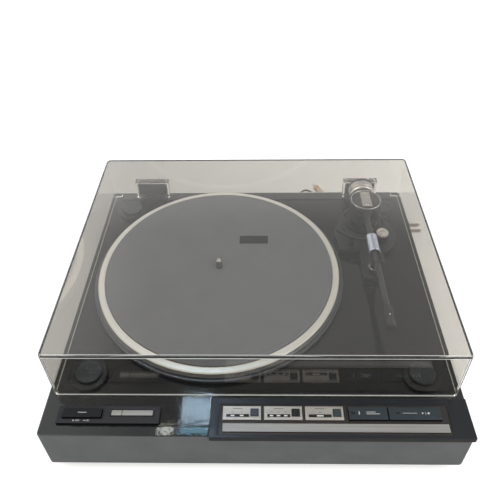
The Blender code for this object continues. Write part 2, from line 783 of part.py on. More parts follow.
# Motor: stator with its bearing under the deck, magnet rotor under the platter.
def build_motor():
    bore = SPINDLE_RADIUS + SEAT_GAP
    plate_top = DECK_UNDER - SEAT_GAP
    plate_low = plate_top - MOTOR_PLATE_THICKNESS
    bore_floor = -BEARING_DEPTH - SEAT_GAP
    turned(
        "motor_stator",
        (
            (0, bore_floor),
            (bore, bore_floor),
            (bore, STATOR_TOP),
            (STATOR_RADIUS, STATOR_TOP),
            (STATOR_RADIUS, plate_top),
            (MOTOR_PLATE_RADIUS, plate_top),
            (MOTOR_PLATE_RADIUS, plate_low),
            (BEARING_RADIUS, plate_low),
            (BEARING_RADIUS, bore_floor - BEARING_FLOOR),
            (0, bore_floor - BEARING_FLOOR),
        ),
        (PLATTER_X, PLATTER_Y, 0),
        "copper",
    )
    rotor_top = RING_TOP - MAT_RECESS - PLATE_THICKNESS - SEAT_GAP
    inside = ROTOR_RADIUS - ROTOR_WALL
    turned(
        "motor_rotor",
        (
            (ROTOR_BORE, rotor_top),
            (ROTOR_RADIUS, rotor_top),
            (ROTOR_RADIUS, ROTOR_LOW),
            (inside, ROTOR_LOW),
            (inside, rotor_top - ROTOR_PLATE),
            (ROTOR_BORE, rotor_top - ROTOR_PLATE),
        ),
        (PLATTER_X, PLATTER_Y, 0),
        "bright metal",
        ring=True,
    )


# Cast platter with its polished ring, rubber mat and spindle.
def build_platter():
    place = (PLATTER_X, PLATTER_Y, 0)
    bore = SPINDLE_RADIUS + SEAT_GAP
    recess = RING_TOP - MAT_RECESS
    under = recess - PLATE_THICKNESS
    seat = MAT_RADIUS + SLIDE_GAP
    turned(
        "platter",
        (
            (bore, recess),
            (seat, recess),
            (seat, RING_TOP),
            (RING_RADIUS - RING_EDGE, RING_TOP),
            (RING_RADIUS, RING_TOP - RING_EDGE),
            (BAND_RADIUS, BAND_TOP),
            (BAND_RADIUS, GROOVE_TOP),
            (BAND_RADIUS - GROOVE_DEPTH, GROOVE_TOP),
            (BAND_RADIUS - GROOVE_DEPTH, FLANGE_TOP),
            (FLANGE_RADIUS, FLANGE_TOP),
            (FLANGE_RADIUS, FLANGE_LOW),
            (FLANGE_RADIUS - SKIRT_WALL, FLANGE_LOW),
            (FLANGE_RADIUS - SKIRT_WALL, under),
            (HUB_RADIUS, under),
            (HUB_RADIUS, HUB_LOW),
            (bore, HUB_LOW),
        ),
        place,
        "platter metal",
        steps=WIDE_TURN_STEPS,
        ring=True,
    )
    mat_low = recess + SEAT_GAP
    mat_top = mat_low + MAT_THICKNESS
    turned(
        "platter_mat",
        (
            (bore, mat_top),
            (MAT_RADIUS - MAT_RIM, mat_top),
            (MAT_RADIUS - MAT_RIM, mat_top + MAT_RIM_RISE),
            (MAT_RADIUS, mat_top + MAT_RIM_RISE),
            (MAT_RADIUS, mat_low),
            (bore, mat_low),
        ),
        place,
        "rubber",
        steps=WIDE_TURN_STEPS,
        ring=True,
    )
    turned(
        "spindle",
        (
            (0, SPINDLE_TOP),
            (SPINDLE_RADIUS / 2, SPINDLE_TOP),
            (SPINDLE_RADIUS, SPINDLE_TOP - SPINDLE_NOSE),
            (SPINDLE_RADIUS, -BEARING_DEPTH),
            (0, -BEARING_DEPTH),
        ),
        place,
        "bright metal",
    )


# Hole or button: left, width, front and depth, grown by a margin.
def key_box(name, key, low, high, margin=0, look=None, rim=0):
    left, width, front, depth = key
    return box(
        name,
        (left - margin, front - margin, low),
        (left + width + margin, front + depth + margin, high),
        look,
        rim=rim,
    )


POWER_KEY = (POWER_BUTTON_LEFT, POWER_BUTTON_WIDTH, POWER_BUTTON_FRONT, POWER_BUTTON_DEPTH)
PLATES = ("speed", "size", "repeat")


def plate_key(index):
    return (PLATE_LEFT + index * PLATE_PITCH, PLATE_WIDTH, PLATE_FRONT, PLATE_DEPTH)


def window_key(index):
    left = PLATE_LEFT + index * PLATE_PITCH + WINDOW_INSET
    return (left, WINDOW_WIDTH, WINDOW_FRONT, WINDOW_DEPTH)


def small_key(index):
    left = PLATE_LEFT + index * PLATE_PITCH + SMALL_BUTTON_INSET
    return (left, SMALL_BUTTON_WIDTH, SMALL_BUTTON_FRONT, SMALL_BUTTON_DEPTH)


# Every button by name: its place, top and travel.
def button_keys():
    keys = [("power_button", POWER_KEY, POWER_BUTTON_TOP, POWER_TRAVEL)]
    for index, name in enumerate(PLATES):
        keys.append((f"{name}_button", small_key(index), SMALL_BUTTON_TOP, BUTTON_TRAVEL))
    for name, left, width in (
        ("lift_button", LIFT_BUTTON_LEFT, LIFT_BUTTON_WIDTH),
        ("start_button", START_BUTTON_LEFT, START_BUTTON_WIDTH),
    ):
        key = (left, width, LARGE_BUTTON_FRONT, LARGE_BUTTON_DEPTH)
        keys.append((name, key, LARGE_BUTTON_TOP, BUTTON_TRAVEL))
    return keys


# Raised panel at the left with the power button's opening and the recess for a badge.
def build_power_panel():
    panel = box(
        "power_panel",
        (POWER_PANEL_LEFT, POWER_PANEL_FRONT, SEAT_GAP),
        (POWER_PANEL_RIGHT, POWER_PANEL_BACK, PANEL_TOP),
        "panel black",
        upright=PANEL_CORNER,
        rim=BUTTON_EDGE,
    )
    cut(panel, key_box("power_panel_hole", POWER_KEY, -OVERRUN, PANEL_TOP + OVERRUN, SLIDE_GAP))
    badge = (BADGE_LEFT, BADGE_WIDTH, BADGE_FRONT, BADGE_DEPTH)
    cut(panel, key_box("badge_recess", badge, PANEL_TOP - BADGE_RECESS, PANEL_TOP + OVERRUN))


# Control panel at the right, with its recessed field, plates, bare strip and openings.
def build_control_panel():
    panel = box(
        "control_panel",
        (PANEL_LEFT, -PANEL_LIP, -LIP_DROP),
        (PANEL_RIGHT, PANEL_BACK, PANEL_TOP),
        "panel black",
        upright=PANEL_CORNER,
        rim=BUTTON_EDGE,
    )
    cut(
        panel,
        box(
            "panel_underside",
            (PANEL_LEFT - OVERRUN, -SEAT_GAP, -LIP_DROP - OVERRUN),
            (PANEL_RIGHT + OVERRUN, PANEL_BACK + OVERRUN, SEAT_GAP),
        ),
    )
    floor = PANEL_TOP - FIELD_RECESS
    field = (FIELD_LEFT, FIELD_WIDTH, FIELD_FRONT, FIELD_BACK - FIELD_FRONT)
    above = PANEL_TOP + OVERRUN
    cut(panel, key_box("panel_field", field, floor, above))
    for name, key, _, _ in button_keys()[1:]:
        cut(panel, key_box(f"{name}_hole", key, -OVERRUN, above, SLIDE_GAP))
    plate_low = floor + SEAT_GAP
    plate_top = plate_low + PLATE_HEIGHT
    for index, name in enumerate(PLATES):
        cut(panel, key_box(f"{name}_window", window_key(index), -OVERRUN, above))
        plate = key_box(f"{name}_plate", plate_key(index), plate_low, plate_top, look="silver")
        cut(plate, key_box(f"{name}_plate_window", window_key(index), floor, above))
        cut(plate, key_box(f"{name}_plate_hole", small_key(index), floor, above, SLIDE_GAP))
    strip = (STRIP_LEFT, STRIP_WIDTH, STRIP_FRONT, STRIP_DEPTH)
    key_box("name_strip", strip, plate_low, plate_low + STRIP_HEIGHT, look="silver")
    for name, key, top, _ in button_keys():
        key_box(name, key, BUTTON_LOW, top, look="key slate", rim=BUTTON_EDGE)


# Board under the front panels, with a switch below each button.
def build_control_board():
    keys = button_keys()
    last = keys[-1][1]
    front = PLINTH_WALL + SEAT_GAP
    board_top = CONTROL_BOARD_LOW + BOARD_THICKNESS
    board = box(
        "control_board",
        (POWER_BUTTON_LEFT - CONTROL_BOARD_MARGIN, front, CONTROL_BOARD_LOW),
        (last[0] + last[1] + CONTROL_BOARD_MARGIN, front + CONTROL_BOARD_DEPTH, board_top),
        "board",
    )
    for name, (left, width, key_front, depth), _, travel in keys:
        x = left + width / 2 - SWITCH_SIDE / 2
        y = key_front + depth / 2 - SWITCH_SIDE / 2
        low = (x, y, CONTROL_BOARD_LOW + BOARD_THICKNESS / 2)
        high = (x + SWITCH_SIDE, y + SWITCH_SIDE, BUTTON_LOW - travel - SEAT_GAP)
        join(board, box(f"{name}_switch", low, high))


# Main board on the cover's ribs, and the mains transformer.
def build_electronics():
    low = COVER_TOP + BOARD_RIB_HEIGHT + SEAT_GAP
    board = box(
        "main_board",
        (MAIN_BOARD_LEFT, MAIN_BOARD_FRONT, low),
        (
            MAIN_BOARD_LEFT + MAIN_BOARD_WIDTH,
            MAIN_BOARD_FRONT + MAIN_BOARD_DEPTH,
            low + BOARD_THICKNESS,
        ),
        "board",
    )
    sink_left = MAIN_BOARD_LEFT + (MAIN_BOARD_WIDTH - HEAT_SINK_WIDTH) / 2
    sink_front = MAIN_BOARD_FRONT + (MAIN_BOARD_DEPTH - HEAT_SINK_DEPTH) / 2
    join(
        board,
        box(
            "heat_sink",
            (sink_left, sink_front, low + BOARD_THICKNESS / 2),
            (
                sink_left + HEAT_SINK_WIDTH,
                sink_front + HEAT_SINK_DEPTH,
                low + BOARD_THICKNESS + HEAT_SINK_HEIGHT,
            ),
        ),
    )
    foot = COVER_TOP + SEAT_GAP
    transformer = box(
        "transformer",
        (TRANSFORMER_LEFT, TRANSFORMER_FRONT, foot),
        (
            TRANSFORMER_LEFT + TRANSFORMER_WIDTH,
            TRANSFORMER_FRONT + TRANSFORMER_DEPTH,
            foot + TRANSFORMER_CORE_HEIGHT,
        ),
        "copper",
    )
    join(
        transformer,
        box(
            "transformer_bobbin",
            (
                TRANSFORMER_LEFT + TRANSFORMER_BOBBIN_INSET,
                TRANSFORMER_FRONT + TRANSFORMER_BOBBIN_INSET,
                foot + TRANSFORMER_CORE_HEIGHT / 2,
            ),
            (
                TRANSFORMER_LEFT + TRANSFORMER_WIDTH - TRANSFORMER_BOBBIN_INSET,
                TRANSFORMER_FRONT + TRANSFORMER_DEPTH - TRANSFORMER_BOBBIN_INSET,
                foot + TRANSFORMER_HEIGHT,
            ),
            upright=PLINTH_WALL,
        ),
    )


# Place on a circle round the arm's pivot, at an angle inwards from the arm at rest.
def around_pivot(radius, degrees):
    turn = math.radians(degrees)
    return (PIVOT_X - radius * math.sin(turn), PIVOT_Y - radius * math.cos(turn))


# Base plate of the tonearm: a disc with a squared corner and a tongue towards the front.
def build_arm_base():
    right = TONGUE_RIGHT - ARM_BASE_X
    left = ARM_BASE_CORNER_X - ARM_BASE_X
    start = -math.degrees(math.acos(right / ARM_BASE_RADIUS))
    end = 360 - math.degrees(math.acos(left / ARM_BASE_RADIUS))
    outline = [
        (TONGUE_LEFT, TONGUE_FRONT),
        (TONGUE_RIGHT, TONGUE_FRONT),
        *arc(ARM_BASE_X, ARM_BASE_Y, ARM_BASE_RADIUS, start, end, TURN_STEPS),
        (ARM_BASE_CORNER_X, ARM_BASE_FRONT_Y),
        (TONGUE_LEFT, ARM_BASE_FRONT_Y),
    ]
    stem_x, stem_y = around_pivot(LIFT_RADIUS, LIFT_STEM_DEG)
    stem_hole = arc(stem_x, stem_y, LIFT_STEM_RADIUS + SEAT_GAP, 0, 360, TURN_STEPS // 2)[:-1]
    flat_plate("arm_base", (outline, stem_hole), SEAT_GAP, ARM_BASE_HEIGHT, "satin black")
    turned(
        "arm_pillar",
        (
            (0, PILLAR_TOP),
            (PILLAR_RADIUS, PILLAR_TOP),
            (PILLAR_RADIUS, PILLAR_STEP_TOP),
            (PILLAR_STEP_RADIUS, PILLAR_STEP_TOP),
            (PILLAR_STEP_RADIUS, ARM_BASE_HEIGHT + SEAT_GAP),
            (0, ARM_BASE_HEIGHT + SEAT_GAP),
        ),
        (PIVOT_X, PIVOT_Y, 0),
        "satin black",
    )
    knob_low = ARM_BASE_HEIGHT + SEAT_GAP
    turned(
        "anti_skate_knob",
        (
            (0, KNOB_TOP),
            (KNOB_RADIUS - KNOB_EDGE, KNOB_TOP),
            (KNOB_RADIUS, KNOB_TOP - KNOB_EDGE),
            (KNOB_RADIUS, KNOB_TOP - KNOB_CAP_HEIGHT),
            (KNOB_RADIUS - KNOB_GROOVE, KNOB_TOP - KNOB_CAP_HEIGHT),
            (KNOB_RADIUS - KNOB_GROOVE, knob_low),
            (0, knob_low),
        ),
        (KNOB_X, KNOB_Y, 0),
        "silver",
        steps=TURN_STEPS // 2,
    )


# Lift bar: an arc under the tube on a stem that slides in the base.
def build_lift():
    inner = LIFT_RADIUS - LIFT_BAR_WIDTH / 2
    outer = LIFT_RADIUS + LIFT_BAR_WIDTH / 2
    start = -90 - LIFT_START_DEG
    end = -90 - LIFT_END_DEG
    steps = TURN_STEPS // 2
    outline = [
        *arc(PIVOT_X, PIVOT_Y, outer, start, end, steps),
        *arc(PIVOT_X, PIVOT_Y, inner, end, start, steps),
    ]
    bar_low = LIFT_BAR_TOP - LIFT_BAR_THICKNESS
    bar = flat_plate("lift_bar", (outline,), bar_low, LIFT_BAR_TOP, "satin black")
    stem_x, stem_y = around_pivot(LIFT_RADIUS, LIFT_STEM_DEG)
    stem_top = LIFT_BAR_TOP - LIFT_BAR_THICKNESS / 2
    middle = (stem_x, stem_y, (stem_top + LIFT_STEM_LOW) / 2)
    length = stem_top - LIFT_STEM_LOW
    join(bar, drum("lift_stem", LIFT_STEM_RADIUS - MERGE, length, middle, steps=TURN_STEPS // 2))


# Arm rest: post with a ring, a floor just under the tube and a hook beside it, and its latch.
def build_arm_rest():
    y = PIVOT_Y - REST_REACH
    post_low = ARM_BASE_HEIGHT + SEAT_GAP
    floor_top = ARM_Z - TUBE_RADIUS - SEAT_GAP
    floor_low = floor_top - REST_FLOOR_THICKNESS
    neck_top = floor_top - REST_FLOOR_THICKNESS / 2
    rest = turned(
        "arm_rest",
        (
            (0, neck_top),
            (REST_NECK_RADIUS, neck_top),
            (REST_NECK_RADIUS, REST_POST_TOP - REST_RING_HEIGHT),
            (REST_POST_RADIUS - REST_RING_HEIGHT, REST_POST_TOP - REST_RING_HEIGHT),
            (REST_POST_RADIUS - REST_RING_HEIGHT, REST_POST_TOP),
            (REST_POST_RADIUS, REST_POST_TOP),
            (REST_POST_RADIUS, post_low),
            (0, post_low),
        ),
        (PIVOT_X, y, 0),
        "satin black",
        steps=TURN_STEPS // 2,
    )
    front = y - REST_LENGTH / 2
    back = y + REST_LENGTH / 2
    hook_left = PIVOT_X + TUBE_RADIUS + SEAT_GAP
    hook_right = hook_left + REST_HOOK_WIDTH
    hook_top = ARM_Z + TUBE_RADIUS + SEAT_GAP
    floor_left = hook_right - REST_FLOOR_WIDTH
    join(rest, box("rest_floor", (floor_left, front, floor_low), (hook_right, back, floor_top)))
    hook_low = floor_low + REST_FLOOR_THICKNESS / 2
    join(rest, box("rest_hook", (hook_left, front, hook_low), (hook_right, back, hook_top)))
    hub_x = hook_left + REST_HOOK_WIDTH / 2
    latch_low = hook_top + SEAT_GAP
    steps = TURN_STEPS // 4
    outline = [
        *arc(hub_x, y, LATCH_RADIUS, 0, 180, steps),
        *arc(hub_x, y - LATCH_LENGTH, LATCH_RADIUS, 180, 360, steps),
    ]
    latch = flat_plate(
        "rest_latch", (outline,), latch_low, latch_low + LATCH_THICKNESS, "bright metal"
    )
    return latch, (hub_x, y, latch_low)


# Pivot housing, tube with its stub and trunnions, sleeve, collar and counterweight.
def build_arm():
    pivot = (PIVOT_X, PIVOT_Y, ARM_Z)
    low = PILLAR_TOP + SEAT_GAP
    housing = turned(
        "pivot_housing",
        (
            (0, HOUSING_TOP),
            (HOUSING_RADIUS - HOUSING_EDGE, HOUSING_TOP),
            (HOUSING_RADIUS, HOUSING_TOP - HOUSING_EDGE),
            (HOUSING_RADIUS, low),
            (0, low),
        ),
        (PIVOT_X, PIVOT_Y, 0),
        "satin black",
    )
    slot_half = HOUSING_SLOT_WIDTH / 2
    reach = HOUSING_RADIUS + OVERRUN
    cut(
        housing,
        box(
            "housing_slot",
            (PIVOT_X - slot_half, PIVOT_Y - reach, low + HOUSING_FLOOR),
            (PIVOT_X + slot_half, PIVOT_Y + reach, HOUSING_TOP - HOUSING_ROOF),
        ),
    )
    bridge_half = BRIDGE_WIDTH / 2
    join(
        housing,
        box(
            "housing_bridge",
            (PIVOT_X - bridge_half, PIVOT_Y - BRIDGE_REACH, HOUSING_TOP - HOUSING_EDGE),
            (PIVOT_X + bridge_half, PIVOT_Y + BRIDGE_REACH, HOUSING_TOP + BRIDGE_HEIGHT),
        ),
    )
    tube_end = SOCKET_DEPTH - ARM_REACH
    arm = turned(
        "arm_tube",
        (
            (0, STUB_REACH),
            (STUB_RADIUS, STUB_REACH),
            (STUB_RADIUS, 0),
            (TUBE_RADIUS, 0),
            (TUBE_RADIUS, tube_end),
            (0, tube_end),
        ),
        pivot,
        "satin black",
        steps=TURN_STEPS // 2,
        along="y",
    )
    block = Vector((ARM_BLOCK_WIDTH, ARM_BLOCK_LENGTH, ARM_BLOCK_HEIGHT)) / 2
    centre = Vector(pivot)
    join(arm, box("arm_block", centre - block, centre + block, upright=ARM_BLOCK_EDGE))
    axle = HOUSING_SLOT_WIDTH - 2 * SEAT_GAP
    join(arm, drum("trunnions", TRUNNION_RADIUS, axle, pivot, along="x", steps=TURN_STEPS // 2))
    bore = TUBE_RADIUS + SEAT_GAP
    sleeve_end = -SLEEVE_START - SLEEVE_LENGTH
    sleeve = turned(
        "damping_sleeve",
        (
            (bore, -SLEEVE_START),
            (SLEEVE_RADIUS - SLEEVE_EDGE, -SLEEVE_START),
            (SLEEVE_RADIUS, -SLEEVE_START - SLEEVE_EDGE),
            (SLEEVE_RADIUS, sleeve_end + SLEEVE_EDGE),
            (SLEEVE_RADIUS - SLEEVE_EDGE, sleeve_end),
            (bore, sleeve_end),
        ),
        pivot,
        "silver",
        steps=TURN_STEPS // 2,
        along="y",
        ring=True,
    )
    collar_start = COLLAR_LENGTH - ARM_REACH
    collar = turned(
        "locking_collar",
        (
            (bore, collar_start),
            (COLLAR_RADIUS - COLLAR_EDGE, collar_start),
            (COLLAR_RADIUS, collar_start - COLLAR_EDGE),
            (COLLAR_RADIUS, COLLAR_EDGE - ARM_REACH),
            (COLLAR_RADIUS - COLLAR_EDGE, -ARM_REACH),
            (bore, -ARM_REACH),
        ),
        pivot,
        "satin black",
        steps=TURN_STEPS // 2,
        along="y",
        ring=True,
    )
    end = WEIGHT_START + WEIGHT_LENGTH
    waist = WEIGHT_RADIUS - WEIGHT_GROOVE
    weight = turned(
        "counterweight",
        (
            (STUB_RADIUS + SEAT_GAP, end),
            (WEIGHT_RADIUS - WEIGHT_EDGE, end),
            (WEIGHT_RADIUS, end - WEIGHT_EDGE),
            (WEIGHT_RADIUS, end - WEIGHT_RING_LENGTH),
            (waist, end - WEIGHT_RING_LENGTH - WEIGHT_GROOVE),
            (WEIGHT_RADIUS, end - WEIGHT_RING_LENGTH - 2 * WEIGHT_GROOVE),
            (WEIGHT_RADIUS, WEIGHT_START + WEIGHT_EDGE),
            (WEIGHT_RADIUS - WEIGHT_EDGE, WEIGHT_START),
            (STUB_RADIUS + SEAT_GAP, WEIGHT_START),
        ),
        pivot,
        "silver",
        along="y",
        ring=True,
    )
    yaw = on_axis("arm_yaw_axis", pivot, [housing])
    on_axis("arm_tilt_axis", pivot, [arm, sleeve, collar, weight], parent=yaw)


# Hinge half on the deck: a block with two ears round the leaf's knuckle.
def build_hinge_block(name, x):
    half = HINGE_WIDTH / 2
    knuckle = KNUCKLE_WIDTH / 2 + SLIDE_GAP
    ears = knuckle + EAR_THICKNESS
    back = HINGE_BLOCK_FRONT + HINGE_BLOCK_DEPTH
    axis = (x, HINGE_AXIS_Y, HINGE_AXIS_Z)
    block = box(
        f"hinge_block_{name}",
        (x - half, HINGE_BLOCK_FRONT, SEAT_GAP),
        (x + half, back, HINGE_BLOCK_TOP),
        "satin black",
        upright=PANEL_CORNER,
    )
    join(
        block,
        box(
            f"hinge_arms_{name}",
            (x - ears, back - OVERRUN, EAR_LOW),
            (x + ears, HINGE_AXIS_Y, HINGE_BLOCK_TOP - SEAT_GAP),
        ),
    )
    join(block, drum(f"hinge_ears_{name}", EAR_RADIUS, 2 * ears, axis, along="x"))
    cut(
        block,
        box(
            f"hinge_gap_{name}",
            (x - knuckle, back, -OVERRUN),
            (x + knuckle, HINGE_AXIS_Y + EAR_RADIUS + OVERRUN, NOTCH_TOP),
        ),
    )
    bore = PIN_RADIUS + SEAT_GAP
    length = 2 * (ears + OVERRUN)
    cut(block, drum(f"hinge_bore_{name}", bore, length, axis, along="x", steps=TURN_STEPS // 2))
    steps = TURN_STEPS // 2
    drum(f"hinge_pin_{name}", PIN_RADIUS, 2 * ears, axis, "x", "bright metal", steps)


def pocket_back():
    return LID_BACK - LID_WALL - SEAT_GAP


# Hinge half on the lid: a leaf in the lid's pocket, its neck and the knuckle round the pin.
def build_hinge_leaf(name, x):
    half = HINGE_WIDTH / 2
    knuckle = KNUCKLE_WIDTH / 2
    front = POCKET_FRONT + POCKET_WALL + SEAT_GAP
    back = pocket_back() - SEAT_GAP
    axis = (x, HINGE_AXIS_Y, HINGE_AXIS_Z)
    neck_low = HINGE_BLOCK_TOP + 2 * SEAT_GAP
    leaf = box(
        f"hinge_leaf_{name}",
        (x - half, front, LEAF_LOW),
        (x + half, back, POCKET_TOP - POCKET_WALL - SEAT_GAP),
        "satin black",
    )
    join(
        leaf,
        box(
            f"leaf_neck_{name}",
            (x - knuckle, front, neck_low),
            (x + knuckle, back, LEAF_LOW + OVERRUN),
        ),
    )
    join(
        leaf,
        box(
            f"leaf_arm_{name}",
            (x - knuckle, (front + back) / 2, neck_low),
            (x + knuckle, HINGE_AXIS_Y, HINGE_AXIS_Z + EAR_RADIUS - SEAT_GAP),
        ),
    )
    barrel = EAR_RADIUS - MERGE
    join(leaf, drum(f"leaf_barrel_{name}", barrel, KNUCKLE_WIDTH, axis, along="x"))
    length = KNUCKLE_WIDTH + 2 * OVERRUN
    bore = PIN_RADIUS + SEAT_GAP
    cut(leaf, drum(f"leaf_bore_{name}", bore, length, axis, "x", steps=TURN_STEPS // 2))
    return leaf


# Clear dust cover: its rear wall stops above the deck, with a pocket and a notch at each hinge.
def build_lid():
    half = LID_WIDTH / 2
    inside = half - LID_WALL
    lid = box(
        "dust_cover",
        (-half, LID_FRONT, SEAT_GAP),
        (half, LID_BACK, LID_HEIGHT),
        "smoked clear",
        upright=LID_CORNER,
        rim=LID_RIM,
    )
    cut(
        lid,
        box(
            "lid_inside",
            (-inside, LID_FRONT + LID_WALL, -OVERRUN),
            (inside, LID_BACK - LID_WALL, LID_HEIGHT - LID_WALL),
            upright=LID_CORNER - LID_WALL,
        ),
    )
    pocket = POCKET_WIDTH / 2
    leaves = []
    for name, x in (("left", -HINGE_X), ("right", HINGE_X)):
        join(
            lid,
            box(
                f"pocket_{name}",
                (x - pocket, POCKET_FRONT, REAR_GAP_TOP / 2),
                (x + pocket, LID_BACK - LID_WALL / 2, POCKET_TOP),
            ),
        )
        cut(
            lid,
            box(
                f"pocket_inside_{name}",
                (x - pocket + POCKET_WALL, POCKET_FRONT + POCKET_WALL, -OVERRUN),
                (x + pocket - POCKET_WALL, pocket_back(), POCKET_TOP - POCKET_WALL),
            ),
        )
        cut(
            lid,
            box(
                f"notch_{name}",
                (x - NOTCH_WIDTH / 2, pocket_back() - OVERRUN, -OVERRUN),
                (x + NOTCH_WIDTH / 2, LID_BACK + OVERRUN, NOTCH_TOP),
            ),
        )
        build_hinge_block(name, x)
        leaves.append(build_hinge_leaf(name, x))
    cut(
        lid,
        box(
            "rear_gap",
            (-REAR_GAP_WIDTH / 2, POCKET_FRONT - OVERRUN, -OVERRUN),
            (REAR_GAP_WIDTH / 2, LID_BACK + OVERRUN, REAR_GAP_TOP),
        ),
    )
    on_axis("lid_axis", (0, HINGE_AXIS_Y, HINGE_AXIS_Z), [lid, *leaves])


# Gland in the plinth's rear wall, tapering into the cord's strain relief.
def build_gland(name, x, flange, relief, length, cord):
    face = SEAT_GAP + GLAND_FLANGE
    inner = -PLINTH_WALL - GLAND_INNER
    turned(
        name,
        (
            (0, face + length),
            (cord + RELIEF_TIP_WALL, face + length),
            (relief, face),
            (flange, face),
            (flange, SEAT_GAP),
            (GLAND_NECK, SEAT_GAP),
            (GLAND_NECK, inner),
            (0, inner),
        ),
        (x, REAR, TABLE + GLAND_HEIGHT),
        "rubber",
        steps=TURN_STEPS // 2,
        along="y",
    )


COIL_STEPS = 24


# Two-layer coil: in along the upper layer, down a layer where it reverses, out along the table.
def coil_points(x, y, radius, turns, pitch, cord, tail):
    half = turns / 2
    count = round(turns * COIL_STEPS)
    turn = np.linspace(-half, half, count + 1)
    reach = radius + pitch * (np.abs(turn) - half / 2)
    angle = math.pi / 2 + 2 * math.pi * (turn + half)
    share = np.clip(2 * (turn + 0.25), 0, 1)
    drop = share * share * (3 - 2 * share)
    loops = np.column_stack(
        (x + reach * np.cos(angle), y + reach * np.sin(angle), TABLE + cord + pitch * (1 - drop))
    )
    start = loops[0] + (2 * cord, 0, 0)
    end = loops[-1] + (tail, 0, 0)
    return np.vstack([start, loops, end]), loops


# Least distance between loops, less the cord's diameter.
def self_gap(loops, cord):
    spread = np.linalg.norm(loops[:, None] - loops[None], axis=2)
    index = np.arange(len(loops))
    apart = np.abs(index[:, None] - index[None]) > COIL_STEPS // 2
    return float(spread[apart].min()) - 2 * cord


def build_coil(name, x, y, radius, turns, pitch, cord, tail):
    points, loops = coil_points(x, y, radius, turns, pitch, cord, tail)
    tube(name, points, cord, "rubber", roundness=1)
    gap = self_gap(loops, cord) / MM
    length = float(np.linalg.norm(np.diff(points, axis=0), axis=1).sum())
    print(f"{name}: least gap to itself {gap:.2f} mm, length {length:.3f} m")
    return points[-1]


def build_cord(name, route, cord, spacing_share):
    points = smooth_route(route, spacing_share * cord)
    tube(name, points, cord, "rubber")
    length = float(np.linalg.norm(np.diff(points, axis=0), axis=1).sum())
    print(f"{name}: length {length:.3f} m, {len(points)} points")


CORD_SPACING_SHARE = 4.2
TAIL_SPACING_SHARE = 5.6


# Mains lead: gland, cord, coil and a two-blade plug beside the plinth.
def build_power_lead():
    build_gland(
        "power_gland",
        POWER_GLAND_X,
        POWER_GLAND_RADIUS,
        POWER_RELIEF_RADIUS,
        POWER_RELIEF_LENGTH,
        POWER_CORD_RADIUS,
    )
    build_cord("power_cord", POWER_ROUTE, POWER_CORD_RADIUS, CORD_SPACING_SHARE)
    end = build_coil(
        "power_cord_coil",
        POWER_COIL_X,
        POWER_COIL_Y,
        POWER_COIL_RADIUS,
        POWER_COIL_TURNS,
        POWER_COIL_PITCH,
        POWER_CORD_RADIUS,
        POWER_COIL_TAIL,
    )
    y = float(end[1])
    low = TABLE
    middle = TABLE + PLUG_HEIGHT / 2
    plug = box(
        "power_plug",
        (PLUG_LEFT, y - PLUG_WIDTH / 2, low),
        (PLUG_LEFT + PLUG_LENGTH, y + PLUG_WIDTH / 2, low + PLUG_HEIGHT),
        "rubber",
        upright=PLUG_CORNER,
        rim=PLUG_CORNER / 2,
        sole=PLUG_CORNER / 2,
    )
    tip = float(end[0]) + SEAT_GAP
    tip_radius = POWER_CORD_RADIUS + RELIEF_TIP_WALL
    rise_shares = (0, 0, 0.35, 0.8, 1, 1)
    along_shares = (0, 0.2, 0.5, 0.8, 0.95, 1)
    run = PLUG_LEFT + PLUG_CORNER - tip
    growth = PLUG_RELIEF_RADIUS / tip_radius - 1
    radii = [1 + growth * along for along in along_shares]
    climb = PLUG_HEIGHT / 2 - PLUG_RELIEF_RADIUS
    points = [
        (tip + run * along, y, TABLE + tip_radius * radius + climb * rise)
        for along, rise, radius in zip(along_shares, rise_shares, radii)
    ]
    join(plug, as_mesh(tube("plug_relief", points, tip_radius, radii=radii)))
    for side in (-1, 1):
        blade_y = y + side * BLADE_SPACING / 2
        left = PLUG_LEFT + PLUG_LENGTH
        join(
            plug,
            box(
                f"blade_{side}",
                (left - OVERRUN, blade_y - BLADE_THICKNESS / 2, middle - BLADE_WIDTH / 2),
                (left + BLADE_LENGTH, blade_y + BLADE_THICKNESS / 2, middle + BLADE_WIDTH / 2),
            ),
        )


# Phono plug: pin, shell, body and boot in one line, lying on the table.
def build_phono_plug(name, x, y, degrees):
    shell = PHONO_PIN_LENGTH
    body = shell + PHONO_SHELL_LENGTH
    boot = body + PHONO_BODY_LENGTH
    end = boot + PHONO_BOOT_LENGTH
    plug = turned(
        name,
        (
            (0, 0),
            (PHONO_PIN_RADIUS / 2, 0),
            (PHONO_PIN_RADIUS, -PHONO_PIN_RADIUS),
            (PHONO_PIN_RADIUS, -shell),
            (PHONO_SHELL_RADIUS, -shell),
            (PHONO_SHELL_RADIUS, -body),
            (PHONO_BODY_RADIUS, -body),
            (PHONO_BODY_RADIUS, -boot),
            (PHONO_BOOT_RADIUS, -end),
            (0, -end),
        ),
        (x, y, TABLE + PHONO_BODY_RADIUS),
        "cream",
        steps=TURN_STEPS // 2,
    )
    turn = math.radians(degrees)
    heading = Vector((math.cos(turn), math.sin(turn), 0))
    plug.rotation_euler = heading.to_track_quat("Z", "Y").to_euler()


